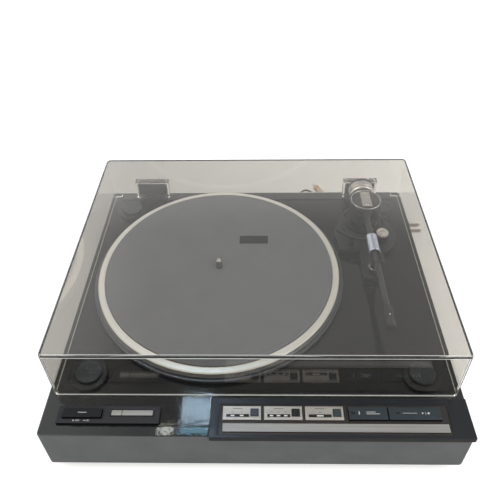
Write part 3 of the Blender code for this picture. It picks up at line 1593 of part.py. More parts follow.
# Audio lead: gland, twin cord, coil, splitter, and two tails with phono plugs.
def build_audio_lead():
    build_gland(
        "audio_gland",
        AUDIO_GLAND_X,
        AUDIO_GLAND_RADIUS,
        AUDIO_RELIEF_RADIUS,
        AUDIO_RELIEF_LENGTH,
        AUDIO_CORD_RADIUS,
    )
    build_cord("audio_cord", AUDIO_ROUTE, AUDIO_CORD_RADIUS, CORD_SPACING_SHARE)
    end = build_coil(
        "audio_cord_coil",
        AUDIO_COIL_X,
        AUDIO_COIL_Y,
        AUDIO_COIL_RADIUS,
        AUDIO_COIL_TURNS,
        AUDIO_COIL_PITCH,
        AUDIO_CORD_RADIUS,
        AUDIO_COIL_TAIL,
    )
    left = float(end[0]) + SEAT_GAP
    y = float(end[1])
    box(
        "audio_splitter",
        (left, y - SPLIT_WIDTH / 2, TABLE),
        (left + SPLIT_LENGTH, y + SPLIT_WIDTH / 2, TABLE + SPLIT_HEIGHT),
        "rubber",
        upright=RING_EDGE,
    )
    build_cord("audio_tail_left", LEFT_TAIL_ROUTE, TAIL_RADIUS, TAIL_SPACING_SHARE)
    build_cord("audio_tail_right", RIGHT_TAIL_ROUTE, TAIL_RADIUS, TAIL_SPACING_SHARE)
    build_phono_plug("phono_plug_left", PHONO_LEFT_X, PHONO_LEFT_Y, PHONO_LEFT_DEG)
    build_phono_plug("phono_plug_right", PHONO_RIGHT_X, PHONO_RIGHT_Y, PHONO_RIGHT_DEG)


def build():
    build_plinth()
    build_cover()
    build_feet()
    build_motor()
    build_platter()
    build_power_panel()
    build_control_panel()
    build_control_board()
    build_electronics()
    build_arm_base()
    build_lift()
    latch, latch_axis = build_arm_rest()
    on_axis("latch_axis", latch_axis, [latch])
    build_arm()
    build_lid()
    build_power_lead()
    build_audio_lead()


build()
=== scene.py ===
import math

import bmesh
import bpy
import numpy as np
from mathutils import Matrix, Vector


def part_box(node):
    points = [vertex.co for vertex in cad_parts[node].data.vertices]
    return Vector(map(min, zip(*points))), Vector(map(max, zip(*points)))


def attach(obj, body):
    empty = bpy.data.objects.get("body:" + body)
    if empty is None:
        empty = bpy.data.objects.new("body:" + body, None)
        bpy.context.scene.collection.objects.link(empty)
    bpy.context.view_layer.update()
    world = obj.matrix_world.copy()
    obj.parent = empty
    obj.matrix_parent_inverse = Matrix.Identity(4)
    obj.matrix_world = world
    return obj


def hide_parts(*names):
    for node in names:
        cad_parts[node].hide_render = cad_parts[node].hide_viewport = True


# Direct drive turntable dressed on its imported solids.
# Places are written in millimetres from the middle of the plinth's front edge on the deck:
# x to the right, y to the back, z up. Angles are in degrees.
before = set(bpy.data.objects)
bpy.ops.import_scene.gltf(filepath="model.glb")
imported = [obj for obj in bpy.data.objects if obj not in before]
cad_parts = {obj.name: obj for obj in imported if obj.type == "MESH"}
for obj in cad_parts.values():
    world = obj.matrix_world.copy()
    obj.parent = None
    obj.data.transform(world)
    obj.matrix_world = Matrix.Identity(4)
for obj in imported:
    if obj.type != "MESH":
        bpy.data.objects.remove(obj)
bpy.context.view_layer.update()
mm = 0.001
quarter = math.pi / 2
cabinetLow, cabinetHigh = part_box("cabinet")
deckOrigin = np.array([(cabinetLow.x + cabinetHigh.x) / 2, cabinetLow.y, cabinetHigh.z])
deckTop = float(deckOrigin[2])
tableZ = -deckTop / mm


# Places in the scene: the deck's origin plus the millimetres as metres
def fromDeck(points):
    return deckOrigin + np.asarray(points, float) * mm


# Corners of a CAD node's box in millimetres: the way back from the scene to the deck
def boxOf(node):
    return [(np.array(corner) - deckOrigin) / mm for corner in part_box(node)]


# New object of the data, in the scene
def newObject(name, data):
    made = bpy.data.objects.new(name, data)
    bpy.context.scene.collection.objects.link(made)
    return made


# Camera at the photograph's place, in metres
cameraValues = {"place": (0.0061, -0.43655, 0.576), "lens": 39.4, "yaw": -1.495, "pitch": 40.196, "roll": -1.136,
                "shiftX": 0.0016, "shiftY": -0.094, "near": 0.01}


# Camera: yaw and pitch give the direction it looks in, and the roll turns right and up about that direction
def makeCamera(place, lens, yaw, pitch, roll, shiftX, shiftY, near):
    yaw, pitch, roll = map(math.radians, (yaw, pitch, roll))
    ahead = Vector((math.sin(yaw) * math.cos(pitch), math.cos(yaw) * math.cos(pitch), -math.sin(pitch)))
    level = Vector((math.cos(yaw), -math.sin(yaw), 0))
    above = level.cross(ahead)
    right = math.cos(roll) * level + math.sin(roll) * above
    up = -math.sin(roll) * level + math.cos(roll) * above
    data = bpy.data.cameras.new("photoCamera")
    data.lens, data.shift_x, data.shift_y, data.clip_start = lens, shiftX, shiftY, near
    camera = newObject("photoCamera", data)
    turn = Matrix((right, up, -ahead)).transposed().to_4x4()
    camera.matrix_world = Matrix.Translation(place) @ turn
    bpy.context.scene.camera = camera


makeCamera(**cameraValues)
bpy.context.scene.view_settings.view_transform = "Standard"
print("camera placed")


# Colour written as on a screen, as linear light: straight near black, and to the power 2.4 above
def ink(colour):
    share = np.array([*bytes.fromhex(colour)]) / 255
    linear = np.where(share <= 0.04045, share / 12.92, ((share + 0.055) / 1.055) ** 2.4)
    return (*linear.tolist(), 1.0)


# Inputs of a node by name or number: a link where the value is a node's output, else the value itself
def feed(tree, node, values):
    for key, value in values.items():
        if isinstance(value, bpy.types.NodeSocket):
            tree.links.new(value, node.inputs[key])
        else:
            node.inputs[key].default_value = value


# A node of a tree: its settings by attribute name first, then its inputs
def addNode(tree, kind, values=None, **settings):
    made = tree.nodes.new(f"ShaderNode{kind}")
    for key, value in settings.items():
        setattr(made, key, value)
    feed(tree, made, values or {})
    return made


# Result of a sum on one or two numbers
def reckon(tree, operation, *numbers):
    return addNode(tree, "Math", dict(enumerate(numbers)), operation=operation).outputs[0]


# Product of two numbers
def times(tree, first, second):
    return reckon(tree, "MULTIPLY", first, second)


# X, Y and Z of a vector
def partsOf(tree, vector):
    return addNode(tree, "SeparateXYZ", {0: vector}).outputs


# Two colours mixed: the share is the second one's part
def mixColours(tree, share, first, second):
    return addNode(tree, "Mix", {"Factor": share, "A": first, "B": second}, data_type="RGBA").outputs["Result"]


# Two numbers mixed: the share is the second one's part
def mixNumbers(tree, share, first, second):
    return addNode(tree, "Mix", {0: share, 2: first, 3: second}, data_type="FLOAT").outputs[0]


# Number carried from the source's range to the target's, and held at its ends
def spread(tree, value, source=(0, 1), target=(0, 1), kind="LINEAR"):
    ends = dict(zip(("From Min", "From Max", "To Min", "To Max"), (*source, *target)))
    return addNode(tree, "MapRange", {"Value": value, **ends}, interpolation_type=kind).outputs[0]


# Node group with a vector and named numbers as inputs, and named numbers as outputs
def newGroup(name, numbers, outputs):
    group = bpy.data.node_groups.new(name, "ShaderNodeTree")
    group.interface.new_socket(name="Vector", in_out="INPUT", socket_type="NodeSocketVector")
    for names, way in ((numbers, "INPUT"), (outputs, "OUTPUT")):
        for socket in names:
            group.interface.new_socket(name=socket, in_out=way, socket_type="NodeSocketFloat")
    return group, group.nodes.new("NodeGroupInput").outputs, group.nodes.new("NodeGroupOutput")


# Each pattern's fine noise and cloud: share of the scale, detail, roughness
patternValues = {
    "grain": {"Fine": (1, 3, 0.6), "Cloud": (0.03, 4, 0.55)},
    "brushed": {"Fine": (1, 2, 0.5), "Cloud": (0.12, 3, 0.5)},
    "turned": {"Fine": (1, 2, 0.5), "Cloud": (0.1, 3, 0.5)},
}
brushStretch = (0.02, 1, 1)


# Pattern: two noises at shares of the scale, drawn out along x where brushed, and where turned read at the
# distance from the z axis and the height
def makePattern(name, noises):
    group, start, end = newGroup(f"{name}Pattern", ("Scale",), noises)
    place = start["Vector"]
    if name == "brushed":
        place = addNode(group, "VectorMath", {0: place, 1: brushStretch}, operation="MULTIPLY").outputs[0]
    if name == "turned":
        height = partsOf(group, place)["Z"]
        flat = addNode(group, "VectorMath", {0: place, 1: (1, 1, 0)}, operation="MULTIPLY").outputs[0]
        reach = addNode(group, "VectorMath", {0: flat}, operation="LENGTH").outputs["Value"]
        place = addNode(group, "CombineXYZ", {"X": reach, "Z": height}).outputs[0]
    for output, (share, detail, roughness) in noises.items():
        noise = addNode(group, "TexNoise", {"Vector": place, "Scale": times(group, start["Scale"], share),
                                            "Detail": detail, "Roughness": roughness})
        feed(group, end, {output: noise.outputs["Fac"]})
    return group


dustValues = {"cells": 420, "cloud": 60, "detail": 4, "thin": (0.5, 0.72), "colour": "96938c"}


# Dust: specks where a cell's distance is below the size, times a cloud
def makeDustGroup(cells, cloud, detail, thin, **others):
    group, start, end = newGroup("dustSpecks", ("Size",), ("Mask",))
    place = start["Vector"]
    reach = addNode(group, "TexVoronoi", {"Vector": place, "Scale": cells}).outputs["Distance"]
    noise = addNode(group, "TexNoise", {"Vector": place, "Scale": cloud, "Detail": detail}).outputs["Fac"]
    near = reckon(group, "LESS_THAN", reach, start["Size"])
    feed(group, end, {"Mask": times(group, near, spread(group, noise, thin))})
    return group


# Clear cover: half its width, its front, back and top, the sizes of its wall, corners, rim and rear gap, and the width
# of the painted shade along its rim
lid = {"half": 205.1, "front": 43, "back": 360, "wall": 2.5, "corner": 5, "rear": 7, "gap": 194, "top": 66.7,
       "rim": 2.4, "shadedRimWidth": 2.3}


# Painted shade mask along the cover's rounded rim: past the sides or the back and near the top, or past the sides and
# near the front
def makeShadedRimGroup(values):
    group, start, end = newGroup("coverShadedRim", (), ("Mask",))
    width = values["shadedRimWidth"]
    front = fromDeck((0, values["front"] + width, 0))[1]
    side, back, top = fromDeck((values["half"] - width, values["back"] - width, values["top"] - width))
    parts = partsOf(group, start["Vector"])
    beside = reckon(group, "GREATER_THAN", reckon(group, "ABSOLUTE", parts["X"]), side)
    behind = reckon(group, "GREATER_THAN", parts["Y"], back)
    above = reckon(group, "GREATER_THAN", parts["Z"], top)
    upper = times(group, reckon(group, "MAXIMUM", beside, behind), above)
    corner = times(group, beside, reckon(group, "LESS_THAN", parts["Y"], front))
    feed(group, end, {"Mask": reckon(group, "MAXIMUM", upper, corner)})
    return group


patterns = {name: makePattern(name, noises) for name, noises in patternValues.items()}
dustGroup = makeDustGroup(**dustValues)
shadedRimGroup = makeShadedRimGroup(lid)
platter = {"centre": (-44.2, 207.4, 0), "steps": 256, "ring": True}
platterCentre = fromDeck(platter["centre"])
finishes = {}


# New material, with its tree and its shader
def newMaterial(name):
    material = bpy.data.materials.new(name)
    material.use_nodes = True
    return material, material.node_tree, material.node_tree.nodes["Principled BSDF"]


# Finish: two colours mixed by the pattern's cloud, under dust, and roughness and bump by its fine noise. Above the
# level over the deck it has another colour and roughness.
def finish(name, dark, light, rough, scale, bump, dust=0, metal=0, pattern="grain", centre=(0, 0, 0), level=None,
           sheen=0.5, speck=0.09, ripple=0, cloudy=(0.3, 0.7), depth=0.0002, waves=300, swell=0.0004):
    material, tree, shader = newMaterial(name)
    where = addNode(tree, "TexCoord").outputs["Object"]
    place = addNode(tree, "Mapping", {"Vector": where, "Location": centre}, vector_type="TEXTURE").outputs[0]
    grain = addNode(tree, "Group", {"Vector": place, "Scale": scale}, node_tree=patterns[pattern]).outputs
    shade = mixColours(tree, spread(tree, grain["Cloud"], cloudy), ink(dark), ink(light))
    shine = spread(tree, grain["Fine"], target=rough)
    if dust:
        specks = addNode(tree, "Group", {"Vector": where, "Size": speck}, node_tree=dustGroup).outputs["Mask"]
        shade = mixColours(tree, times(tree, specks, dust), shade, ink(dustValues["colour"]))
    # The level gives the cabinet and the control panel a second colour of their own, and the power panel and keys a
    # lighter top over sides painted dark as shade
    if level:
        height, upperShade, upperRough = level
        parts = partsOf(tree, where)
        over = reckon(tree, "GREATER_THAN", parts["Z"], deckTop + height * mm)
        shade = mixColours(tree, over, shade, ink(upperShade))
        shine = mixNumbers(tree, over, shine, upperRough)
    relief = {"Height": grain["Fine"], "Strength": bump, "Distance": depth}
    if ripple:
        noise = addNode(tree, "TexNoise", {"Vector": where, "Scale": waves, "Detail": 1}).outputs["Fac"]
        wavy = addNode(tree, "Bump", {"Height": noise, "Strength": ripple, "Distance": swell})
        relief["Normal"] = wavy.outputs[0]
    feed(tree, shader, {"Metallic": metal, "Specular IOR Level": sheen, "Base Color": shade, "Roughness": shine,
                        "Normal": addNode(tree, "Bump", relief).outputs[0]})
    finishes[name] = material


finish("cabinet", "585b5b", "646665", (0.34, 0.44), 900, 0.003, 0.06, level=(-0.6, "141617", 0.04), ripple=0.07)
finish("satin", "1a1c1d", "242627", (0.3, 0.42), 1600, 0.08, 0.08)
finish("armBlack", "161718", "202122", (0.2, 0.32), 1800, 0.04)
finish("tube", "282826", "30302e", (0.24, 0.34), 1800, 0.03)
finish("cap", "1e2022", "2c2e31", (0.34, 0.46), 1500, 0.1, 0.1)
# Power panel: sides below the level painted near black as shade, under a lighter top
finish("panel", "070708", "0a0a0b", (0.4, 0.5), 1800, 0.06, 0.03, level=(2.7, "343437", 0.4), sheen=0.06)
# Power key: sides painted near black as shade, under a lighter top above the level
finish("powerKey", "050506", "080809", (0.4, 0.5), 1500, 0.05, 0.03, sheen=0.06,
       level=(boxOf("power_button")[1][2] - 0.4, "242527", 0.4))
finish("controlPanel", "221e1a", "2c2823", (0.3, 0.4), 1600, 0.05, 0.05, level=(2.2, "111418", 0.3),
       sheen=0.35)
finish("slate", "383a46", "40424e", (0.4, 0.5), 1500, 0.05, sheen=0.15)
finish("blackKey", "1e1f20", "262728", (0.4, 0.5), 1500, 0.05, sheen=0.15)
finish("green", "2e393c", "364144", (0.4, 0.5), 1500, 0.05, sheen=0.15)
# Lift and start keys: sides painted near black as shade, under lighter tops above the level
finish("key", "060607", "09090a", (0.4, 0.5), 1500, 0.05, 0.04, level=(3.8, "2e3539", 0.35), sheen=0.2)
finish("brushed", "9c9790", "b8b2aa", (0.28, 0.42), 2600, 0.12, 0, 0.7, "brushed")
finish("strip", "868582", "9c9a95", (0.4, 0.52), 2600, 0.1, 0, 0.7, "brushed")
finish("ring", "d6d3cb", "ece9e2", (0.25, 0.38), 1800, 0.12, 0, 0.4, "turned", platterCentre)
finish("flange", "46494c", "5c5f62", (0.25, 0.4), 1800, 0.15, 0, 0.6, "turned", platterCentre)
finish("copper", "96522c", "ba7042", (0.3, 0.45), 2400, 0.3, 0, 0.8, "turned", platterCentre)
finish("core", "545458", "78787c", (0.4, 0.55), 2600, 0.4, 0, 0.7, "brushed")
finish("matRubber", "707276", "76787c", (0.62, 0.78), 1400, 0.06, 0.3, centre=platterCentre, sheen=0.35, speck=0.07)
finish("rubber", "1e1e1f", "2c2c2d", (0.5, 0.65), 1300, 0.15, 0.15)
finish("footRubber", "1c1c1c", "2a2a29", (0.6, 0.75), 1100, 0.3, 0.3)
finish("steel", "c4c4c2", "e2e2e0", (0.12, 0.22), 1400, 0.03, 0, 1)
finish("spindleSteel", "969694", "b0b0ae", (0.14, 0.24), 1400, 0.03, 0, 1)
finish("darkChrome", "343537", "464749", (0.22, 0.34), 1500, 0.03, 0, 0.7)
finish("chrome", "e2e2e2", "f0f0f0", (0.04, 0.1), 900, 0.01, 0, 1)
finish("silver", "ccc8c6", "dedbd9", (0.16, 0.26), 2200, 0.04, 0, 0.95)
finish("dial", "807670", "f6f0ec", (0.3, 0.45), 14000, 0.02, 0, 0.4)
finish("weight", "a09a96", "bcb6b2", (0.26, 0.38), 2200, 0.04, 0, 0.7)
# sleeve: silver metal tinted blue, the blue a painted reflection of the window
finish("sleeve", "b8c0d4", "c8d2e8", (0.16, 0.26), 2200, 0.04, 0, 0.9)
finish("gold", "b68c4a", "cea662", (0.2, 0.32), 1500, 0.03, 0, 0.9)
finish("blade", "e0cec2", "f0ded2", (0.3, 0.4), 1500, 0.03, 0, 0.3)
# edge: pale colour of the cover's painted highlights on its edges
finish("edge", "c4c8c6", "d8dbd8", (0.35, 0.5), 1500, 0.1)
finish("cream", "c4b2a0", "d8c8b6", (0.4, 0.5), 1400, 0.06)
finish("brown", "261c1a", "362824", (0.28, 0.4), 1500, 0.06)
finish("hardboard", "584430", "745c42", (0.75, 0.9), 1200, 0.4, 0.2)
finish("board", "22562e", "34703e", (0.4, 0.55), 900, 0.1)
finish("window", "141618", "1c1e20", (0.08, 0.14), 900, 0.01)
finish("mark", "c8c8c4", "dededa", (0.5, 0.6), 1500, 0.05)
finish("darkMark", "343230", "42403e", (0.5, 0.6), 1500, 0.05)
# lamp: the pale lamps in the windows, and on the collar stud a painted highlight
finish("lamp", "c0beba", "d2d0cc", (0.2, 0.3), 1200, 0.04)

# The rim colour is the near-black painted shade laid along the cover's rounded edges
clearValues = {"index": 1.49, "scale": 700, "dark": (0.73, 0.71, 0.67, 1), "light": (0.76, 0.74, 0.7, 1),
               "rim": (0.02, 0.02, 0.02, 1), "shadow": (0.86, 0.85, 0.83, 1), "rough": (0, 0.003)}


# Clear acrylic: glass with painted shade along its rim, whose shadow and diffuse rays go straight through its tint
def makeClear(index, scale, dark, light, rim, shadow, rough):
    material, tree, glass = newMaterial("clear")
    where = addNode(tree, "TexCoord").outputs["Object"]
    grain = addNode(tree, "Group", {"Vector": where, "Scale": scale}, node_tree=patterns["grain"])
    cloud = grain.outputs["Cloud"]
    # Painted shade: the tint turns near black where the rim mask is
    edge = addNode(tree, "Group", {"Vector": where}, node_tree=shadedRimGroup).outputs["Mask"]
    tint = mixColours(tree, edge, mixColours(tree, cloud, dark, light), rim)
    feed(tree, glass, {"Transmission Weight": 1, "IOR": index, "Base Color": tint,
                       "Roughness": spread(tree, cloud, target=rough)})
    straight = addNode(tree, "BsdfTransparent", {"Color": shadow}).outputs[0]
    path = addNode(tree, "LightPath").outputs
    either = reckon(tree, "MAXIMUM", path["Is Shadow Ray"], path["Is Diffuse Ray"])
    mix = addNode(tree, "MixShader", {0: either, 1: glass.outputs[0], 2: straight})
    feed(tree, tree.nodes["Material Output"], {"Surface": mix.outputs[0]})
    finishes["clear"] = material


makeClear(**clearValues)
print("finishes made")

worldValues = {"fill": 0.62, "base": 0.8, "horizon": ((0.6, 0.68), (0.65, 0)), "left": ((-0.34, -0.18), (0.6, 0))}


# World: soft pale light, white to the eye. Shiny surfaces see a room whose light is its base plus what the
# horizon and the left add.
def makeWorld(fill, base, **ranges):
    world = bpy.data.worlds.new("studio")
    bpy.context.scene.world = world
    world.use_nodes = True
    tree = world.node_tree
    parts = partsOf(tree, addNode(tree, "TexCoord").outputs["Generated"])
    horizon, left = (spread(tree, parts[axis], *ranges[key], "SMOOTHSTEP")
                     for axis, key in (("Z", "horizon"), ("X", "left")))
    room = reckon(tree, "ADD", reckon(tree, "ADD", horizon, left), base)
    path = addNode(tree, "LightPath").outputs
    white = reckon(tree, "MAXIMUM", path["Is Camera Ray"], path["Is Transmission Ray"])
    plain = mixNumbers(tree, white, fill, 1)
    feed(tree, tree.nodes["Background"], {"Color": (1, 1, 1, 1),
                                          "Strength": mixNumbers(tree, path["Is Glossy Ray"], plain, room)})


floorValues = {"size": 12, "drop": 0.0002, "rough": 0.9, "tone": (0.8, 0.8, 0.8, 1), "mirrored": (0.3, 0.3, 0.3, 1),
               "seen": 0.42, "across": ((-0.25, 0.3), (0.6, 1.37)), "along": ((0.12, 0.3), (1, 0.62))}


# Floor: white paper to the eye, less its shadow, and grey to shiny surfaces. Its glow is the larger of the eye's
# part and the part through the cover, across times along.
def makeFloor(size, drop, rough, tone, mirrored, seen, **glow):
    bpy.ops.mesh.primitive_plane_add(size=size, location=(0, 0, -drop))
    floor = bpy.context.object
    floor.name = "paperFloor"
    material, tree, paper = newMaterial("paper")
    path = addNode(tree, "LightPath").outputs
    parts = partsOf(tree, addNode(tree, "TexCoord").outputs["Object"])
    across, along = (spread(tree, parts[axis], *glow[key]) for axis, key in (("X", "across"), ("Y", "along")))
    through = times(tree, path["Is Transmission Ray"], times(tree, across, along))
    direct = times(tree, path["Is Camera Ray"], seen)
    feed(tree, paper, {"Roughness": rough, "Specular IOR Level": 0, "Emission Color": (1, 1, 1, 1),
                       "Base Color": mixColours(tree, path["Is Glossy Ray"], tone, mirrored),
                       "Emission Strength": reckon(tree, "MAXIMUM", direct, through)})
    floor.data.materials.append(material)


# Lamps: place, size, watts, tone and, where one doesn't look straight down, the place it looks at
lamps = {
    "softBoxLeft": ((-1.5, -0.5, 2), (1.6, 1.6), 20.5, (1, 0.95, 0.88), (0, 0, 0.05)),
    "softBoxRight": ((1.7, -0.9, 1.7), (1.6, 1.6), 36, (0.98, 0.99, 1), (0, 0, 0.05)),
    "windowLamp": ((-0.229, 0.709, 1.62), (0.085, 0.1144), 3, (0.48, 0.71, 1)),
    "windowFade": ((-0.2902, 0.7028, 1.62), (0.0375, 0.1268), 0.42, (0.5, 0.74, 1)),
    "windowSky": ((-0.2519, 0.6122, 1.62), (0.1154, 0.0544), 0.105, (0.32, 0.76, 1)),
    "windowSill": ((-0.3624, 0.615, 1.62), (0.0561, 0.06), 0.1, (0.96, 1, 0.92)),
}


# Lamp: a rectangle turned so that its front looks from its place to the aim
def makeLamp(name, place, size, watts, tone, aim=None):
    data = bpy.data.lights.new(name, "AREA")
    data.shape = "RECTANGLE"
    data.size, data.size_y = size
    data.energy = watts
    data.color = tone
    lamp = newObject(name, data)
    heading = Vector(aim or (*place[:2], 0)) - Vector(place)
    lamp.matrix_world = Matrix.Translation(place) @ heading.to_track_quat("-Z", "Y").to_matrix().to_4x4()


makeWorld(**worldValues)
makeFloor(**floorValues)
for name, values in lamps.items():
    makeLamp(name, *values)
print("studio made")


# Piece of mesh data: smooth up to the angle, with bevels where asked and normals weighted by the faces' areas. Its
# look names its finish, its body and perhaps its slot and replaced nodes.
def dress(name, data, look, angle=32, bevel=0, bevelSteps=3, bevelSharp=40, weight=90):
    material, body, *others = look.split()
    data.polygons.foreach_set("use_smooth", np.ones(len(data.polygons), bool))
    data.set_sharp_from_angle(angle=math.radians(angle))
    data.materials.clear()
    data.materials.append(finishes[material])
    piece = newObject(name, data)
    if bevel:
        rounding = piece.modifiers.new("rounding", "BEVEL")
        rounding.width = bevel * mm
        rounding.segments = bevelSteps
        rounding.limit_method = "ANGLE"
        rounding.angle_limit = math.radians(bevelSharp)
    even = piece.modifiers.new("evenNormals", "WEIGHTED_NORMAL")
    even.keep_sharp = True
    even.weight = weight
    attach(piece, body)
    if others[1:]:
        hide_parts(*others[1:])
    return piece


# Piece from points and faces, facing outwards: turned round where its volume comes out negative
def newPiece(name, points, faces, look, **more):
    data = bpy.data.meshes.new(name)
    data.from_pydata(np.asarray(points, float).tolist(), [], faces)
    shape = bmesh.new()
    shape.from_mesh(data)
    if shape.calc_volume(signed=True) < 0:
        bmesh.ops.reverse_faces(shape, faces=shape.faces)
    shape.to_mesh(data)
    shape.free()
    return dress(name, data, look, **more)


# Surface through rows of points whose columns run round: quads between the rows, and at the ends a join or fans
# to their middles
def ringSurface(name, grid, look, join=False, **more):
    rows, columns = grid.shape[:2]
    index = np.arange(rows * columns).reshape(rows, columns)
    below, above = (index, np.roll(index, -1, 0)) if join else (index[:-1], index[1:])
    faces = np.stack([below, np.roll(below, -1, 1), np.roll(above, -1, 1), above], -1).reshape(-1, 4).tolist()
    points = grid.reshape(-1, 3)
    if not join:
        points = np.vstack([points, grid[0].mean(0), grid[-1].mean(0)])
        first, last = np.roll(index[0], -1), np.roll(index[-1], -1)
        for pole, fan in enumerate(((first, index[0]), (index[-1], last))):
            faces += np.column_stack([*fan, np.full(columns, rows * columns + pole)]).tolist()
    return newPiece(name, points, faces, look, **more)


# Profile of (radius, height, rounding): each corner becomes an arc tangent to both its sides
def roundedProfile(profile, closed, steps=4):
    made = []
    count = len(profile)
    for index, corner in enumerate(profile):
        here = np.array(corner[:2], float)
        rounding = corner[2] if len(corner) > 2 else 0
        if not rounding or (not closed and index in (0, count - 1)):
            made.append(here)
            continue
        before = np.array(profile[index - 1][:2], float) - here
        after = np.array(profile[(index + 1) % count][:2], float) - here
        lengths = np.linalg.norm(before), np.linalg.norm(after)
        before, after = before / lengths[0], after / lengths[1]
        half = math.acos(float(np.clip(before @ after, -1, 1))) / 2
        reach = min(rounding / math.tan(half), 0.48 * min(lengths))
        radius = reach * math.tan(half)
        middle = here + (before + after) / np.linalg.norm(before + after) * radius / math.sin(half)
        start, end = here + before * reach - middle, here + after * reach - middle
        sweep = math.acos(float(np.clip(start @ end / radius**2, -1, 1)))
        share = np.linspace(0, 1, steps + 1)[:, None]
        made += [*(middle + (np.sin((1 - share) * sweep) * start + np.sin(share * sweep) * end) / math.sin(sweep))]
    return np.array(made)


# Turned shape: every profile point (r, h) goes round the axis as centre + r cos(a) u + r sin(a) v + h w
def turned(name, look, profile, centre, axis=(0, 0, 1), steps=96, ring=False, wave=None):
    line = roundedProfile(profile, ring)
    w = np.array(axis, float)
    u = np.cross([1, 0, 0] if abs(w[0]) < 0.9 else [0, 0, 1], w)
    u /= np.linalg.norm(u)
    v = np.cross(w, u)
    ends = centre + line[[0, -1], 1:] * w
    if not ring:
        line = line[line[:, 0] > 1e-6]
    angles = np.linspace(0, 2 * math.pi, steps, endpoint=False)
    around = np.cos(angles)[:, None] * u + np.sin(angles)[:, None] * v
    radius = np.repeat(line[:, :1], steps, 1)
    if wave:
        radius = wave(radius, line[:, 1:], angles[None])
    grid = radius[..., None] * around[None] + line[:, 1:, None] * w
    made = ringSurface(name, fromDeck(centre + grid), look, ring)
    if not ring:
        made.data.vertices[-2].co, made.data.vertices[-1].co = fromDeck(ends)
    return made


# Grooves between two heights: the radius less a depth where a sine over the height, or a cosine over the angle,
# is above a limit
def grooved(depth, low, high, waves, limit, about=False):
    def wave(radius, height, angles):
        phase = np.cos(angles * waves) if about else np.sin(height * waves)
        return radius - depth * (height > low) * (height < high) * (phase > limit)

    return wave


# Outline of a rounded rectangle of half sizes (a, b) with corner radius c: four quarter arcs
def roundedOutline(a, b, c, steps):
    turn = np.linspace(0, quarter, steps + 1)
    middles = ((a - c, b - c), (c - a, b - c), (c - a, c - b), (a - c, c - b))
    return np.vstack([np.column_stack([x + c * np.cos(turn + index * quarter), y + c * np.sin(turn + index * quarter)])
                      for index, (x, y) in enumerate(middles)])


# Slab: rounded rectangles stacked along z, pulled in along a quarter arc at the bottom and the top edge
def slab(name, low, high, corner, edge, look, edgeSteps=4, cornerSteps=5, least=0.05):
    low, high = np.array(low, float), np.array(high, float)
    middle, half = (low + high) / 2, (high - low) / 2
    turn = np.linspace(0, quarter, edgeSteps) if edge else np.array([quarter])
    near, far = edge * (1 - np.sin(turn)), edge * (1 - np.cos(turn))
    grid = []
    for inset, z in zip([*near, *far], [*(low[2] + far), *(high[2] - near)]):
        outline = roundedOutline(*(half[:2] - inset), max(corner - inset, least), cornerSteps)
        grid.append(np.column_stack([outline, np.full(len(outline), z)]))
    return ringSurface(name, fromDeck(np.array(grid) + (*middle[:2], 0)), look)


# Bar: a low slab about (x, y) that stands on z
def bar(name, x, y, z, width, depth, look, height=0.08, corner=0.1):
    low, high = (x - width / 2, y - depth / 2, z), (x + width / 2, y + depth / 2, z + height)
    slab(name, low, high, corner, 0, look)


# Tube along a path: round sections stand across its direction, turned on without twist
def sweepTube(name, path, radius, look, steps=16):
    path = np.asarray(path, float)
    along = np.gradient(path, axis=0)
    along /= np.linalg.norm(along, axis=1)[:, None]
    up = np.cross(along[0], [0, 0, 1])
    frames = []
    for direction in along:
        up = up - direction * (up @ direction)
        up /= np.linalg.norm(up)
        frames.append(up)
    first = np.array(frames)
    second = np.cross(along, first)
    angles = np.linspace(0, 2 * math.pi, steps, endpoint=False)
    radius = np.broadcast_to(np.asarray(radius, float), (len(path),))
    ring = np.cos(angles)[None, :, None] * first[:, None] + np.sin(angles)[None, :, None] * second[:, None]
    return ringSurface(name, path[:, None] + radius[:, None, None] * ring, look)


# Smooth share: 0 before and 1 after, by 3 s s - 2 s s s between
def ease(share):
    share = np.clip(share, 0, 1)
    return share * share * (3 - 2 * share)


# Smooth curve through a route's points: a cubic between each two, tangent to the line past them
def smoothRoute(route, spacing):
    knots = np.array(route, float)
    knots[:, 2] += tableZ
    padded = np.vstack([2 * knots[0] - knots[1], knots, 2 * knots[-1] - knots[-2]])
    made = []
    for before, start, end, after in zip(padded, padded[1:], padded[2:], padded[3:]):
        count = max(1, round(float(np.linalg.norm(end - start)) / spacing))
        s = (np.arange(count) / count)[:, None]
        made.append(0.5 * (2 * start + (end - before) * s + (2 * before - 5 * start + 4 * end - after) * s**2
                           + (3 * start - before - 3 * end + after) * s**3))
    return np.vstack([*made, knots[-1:]])


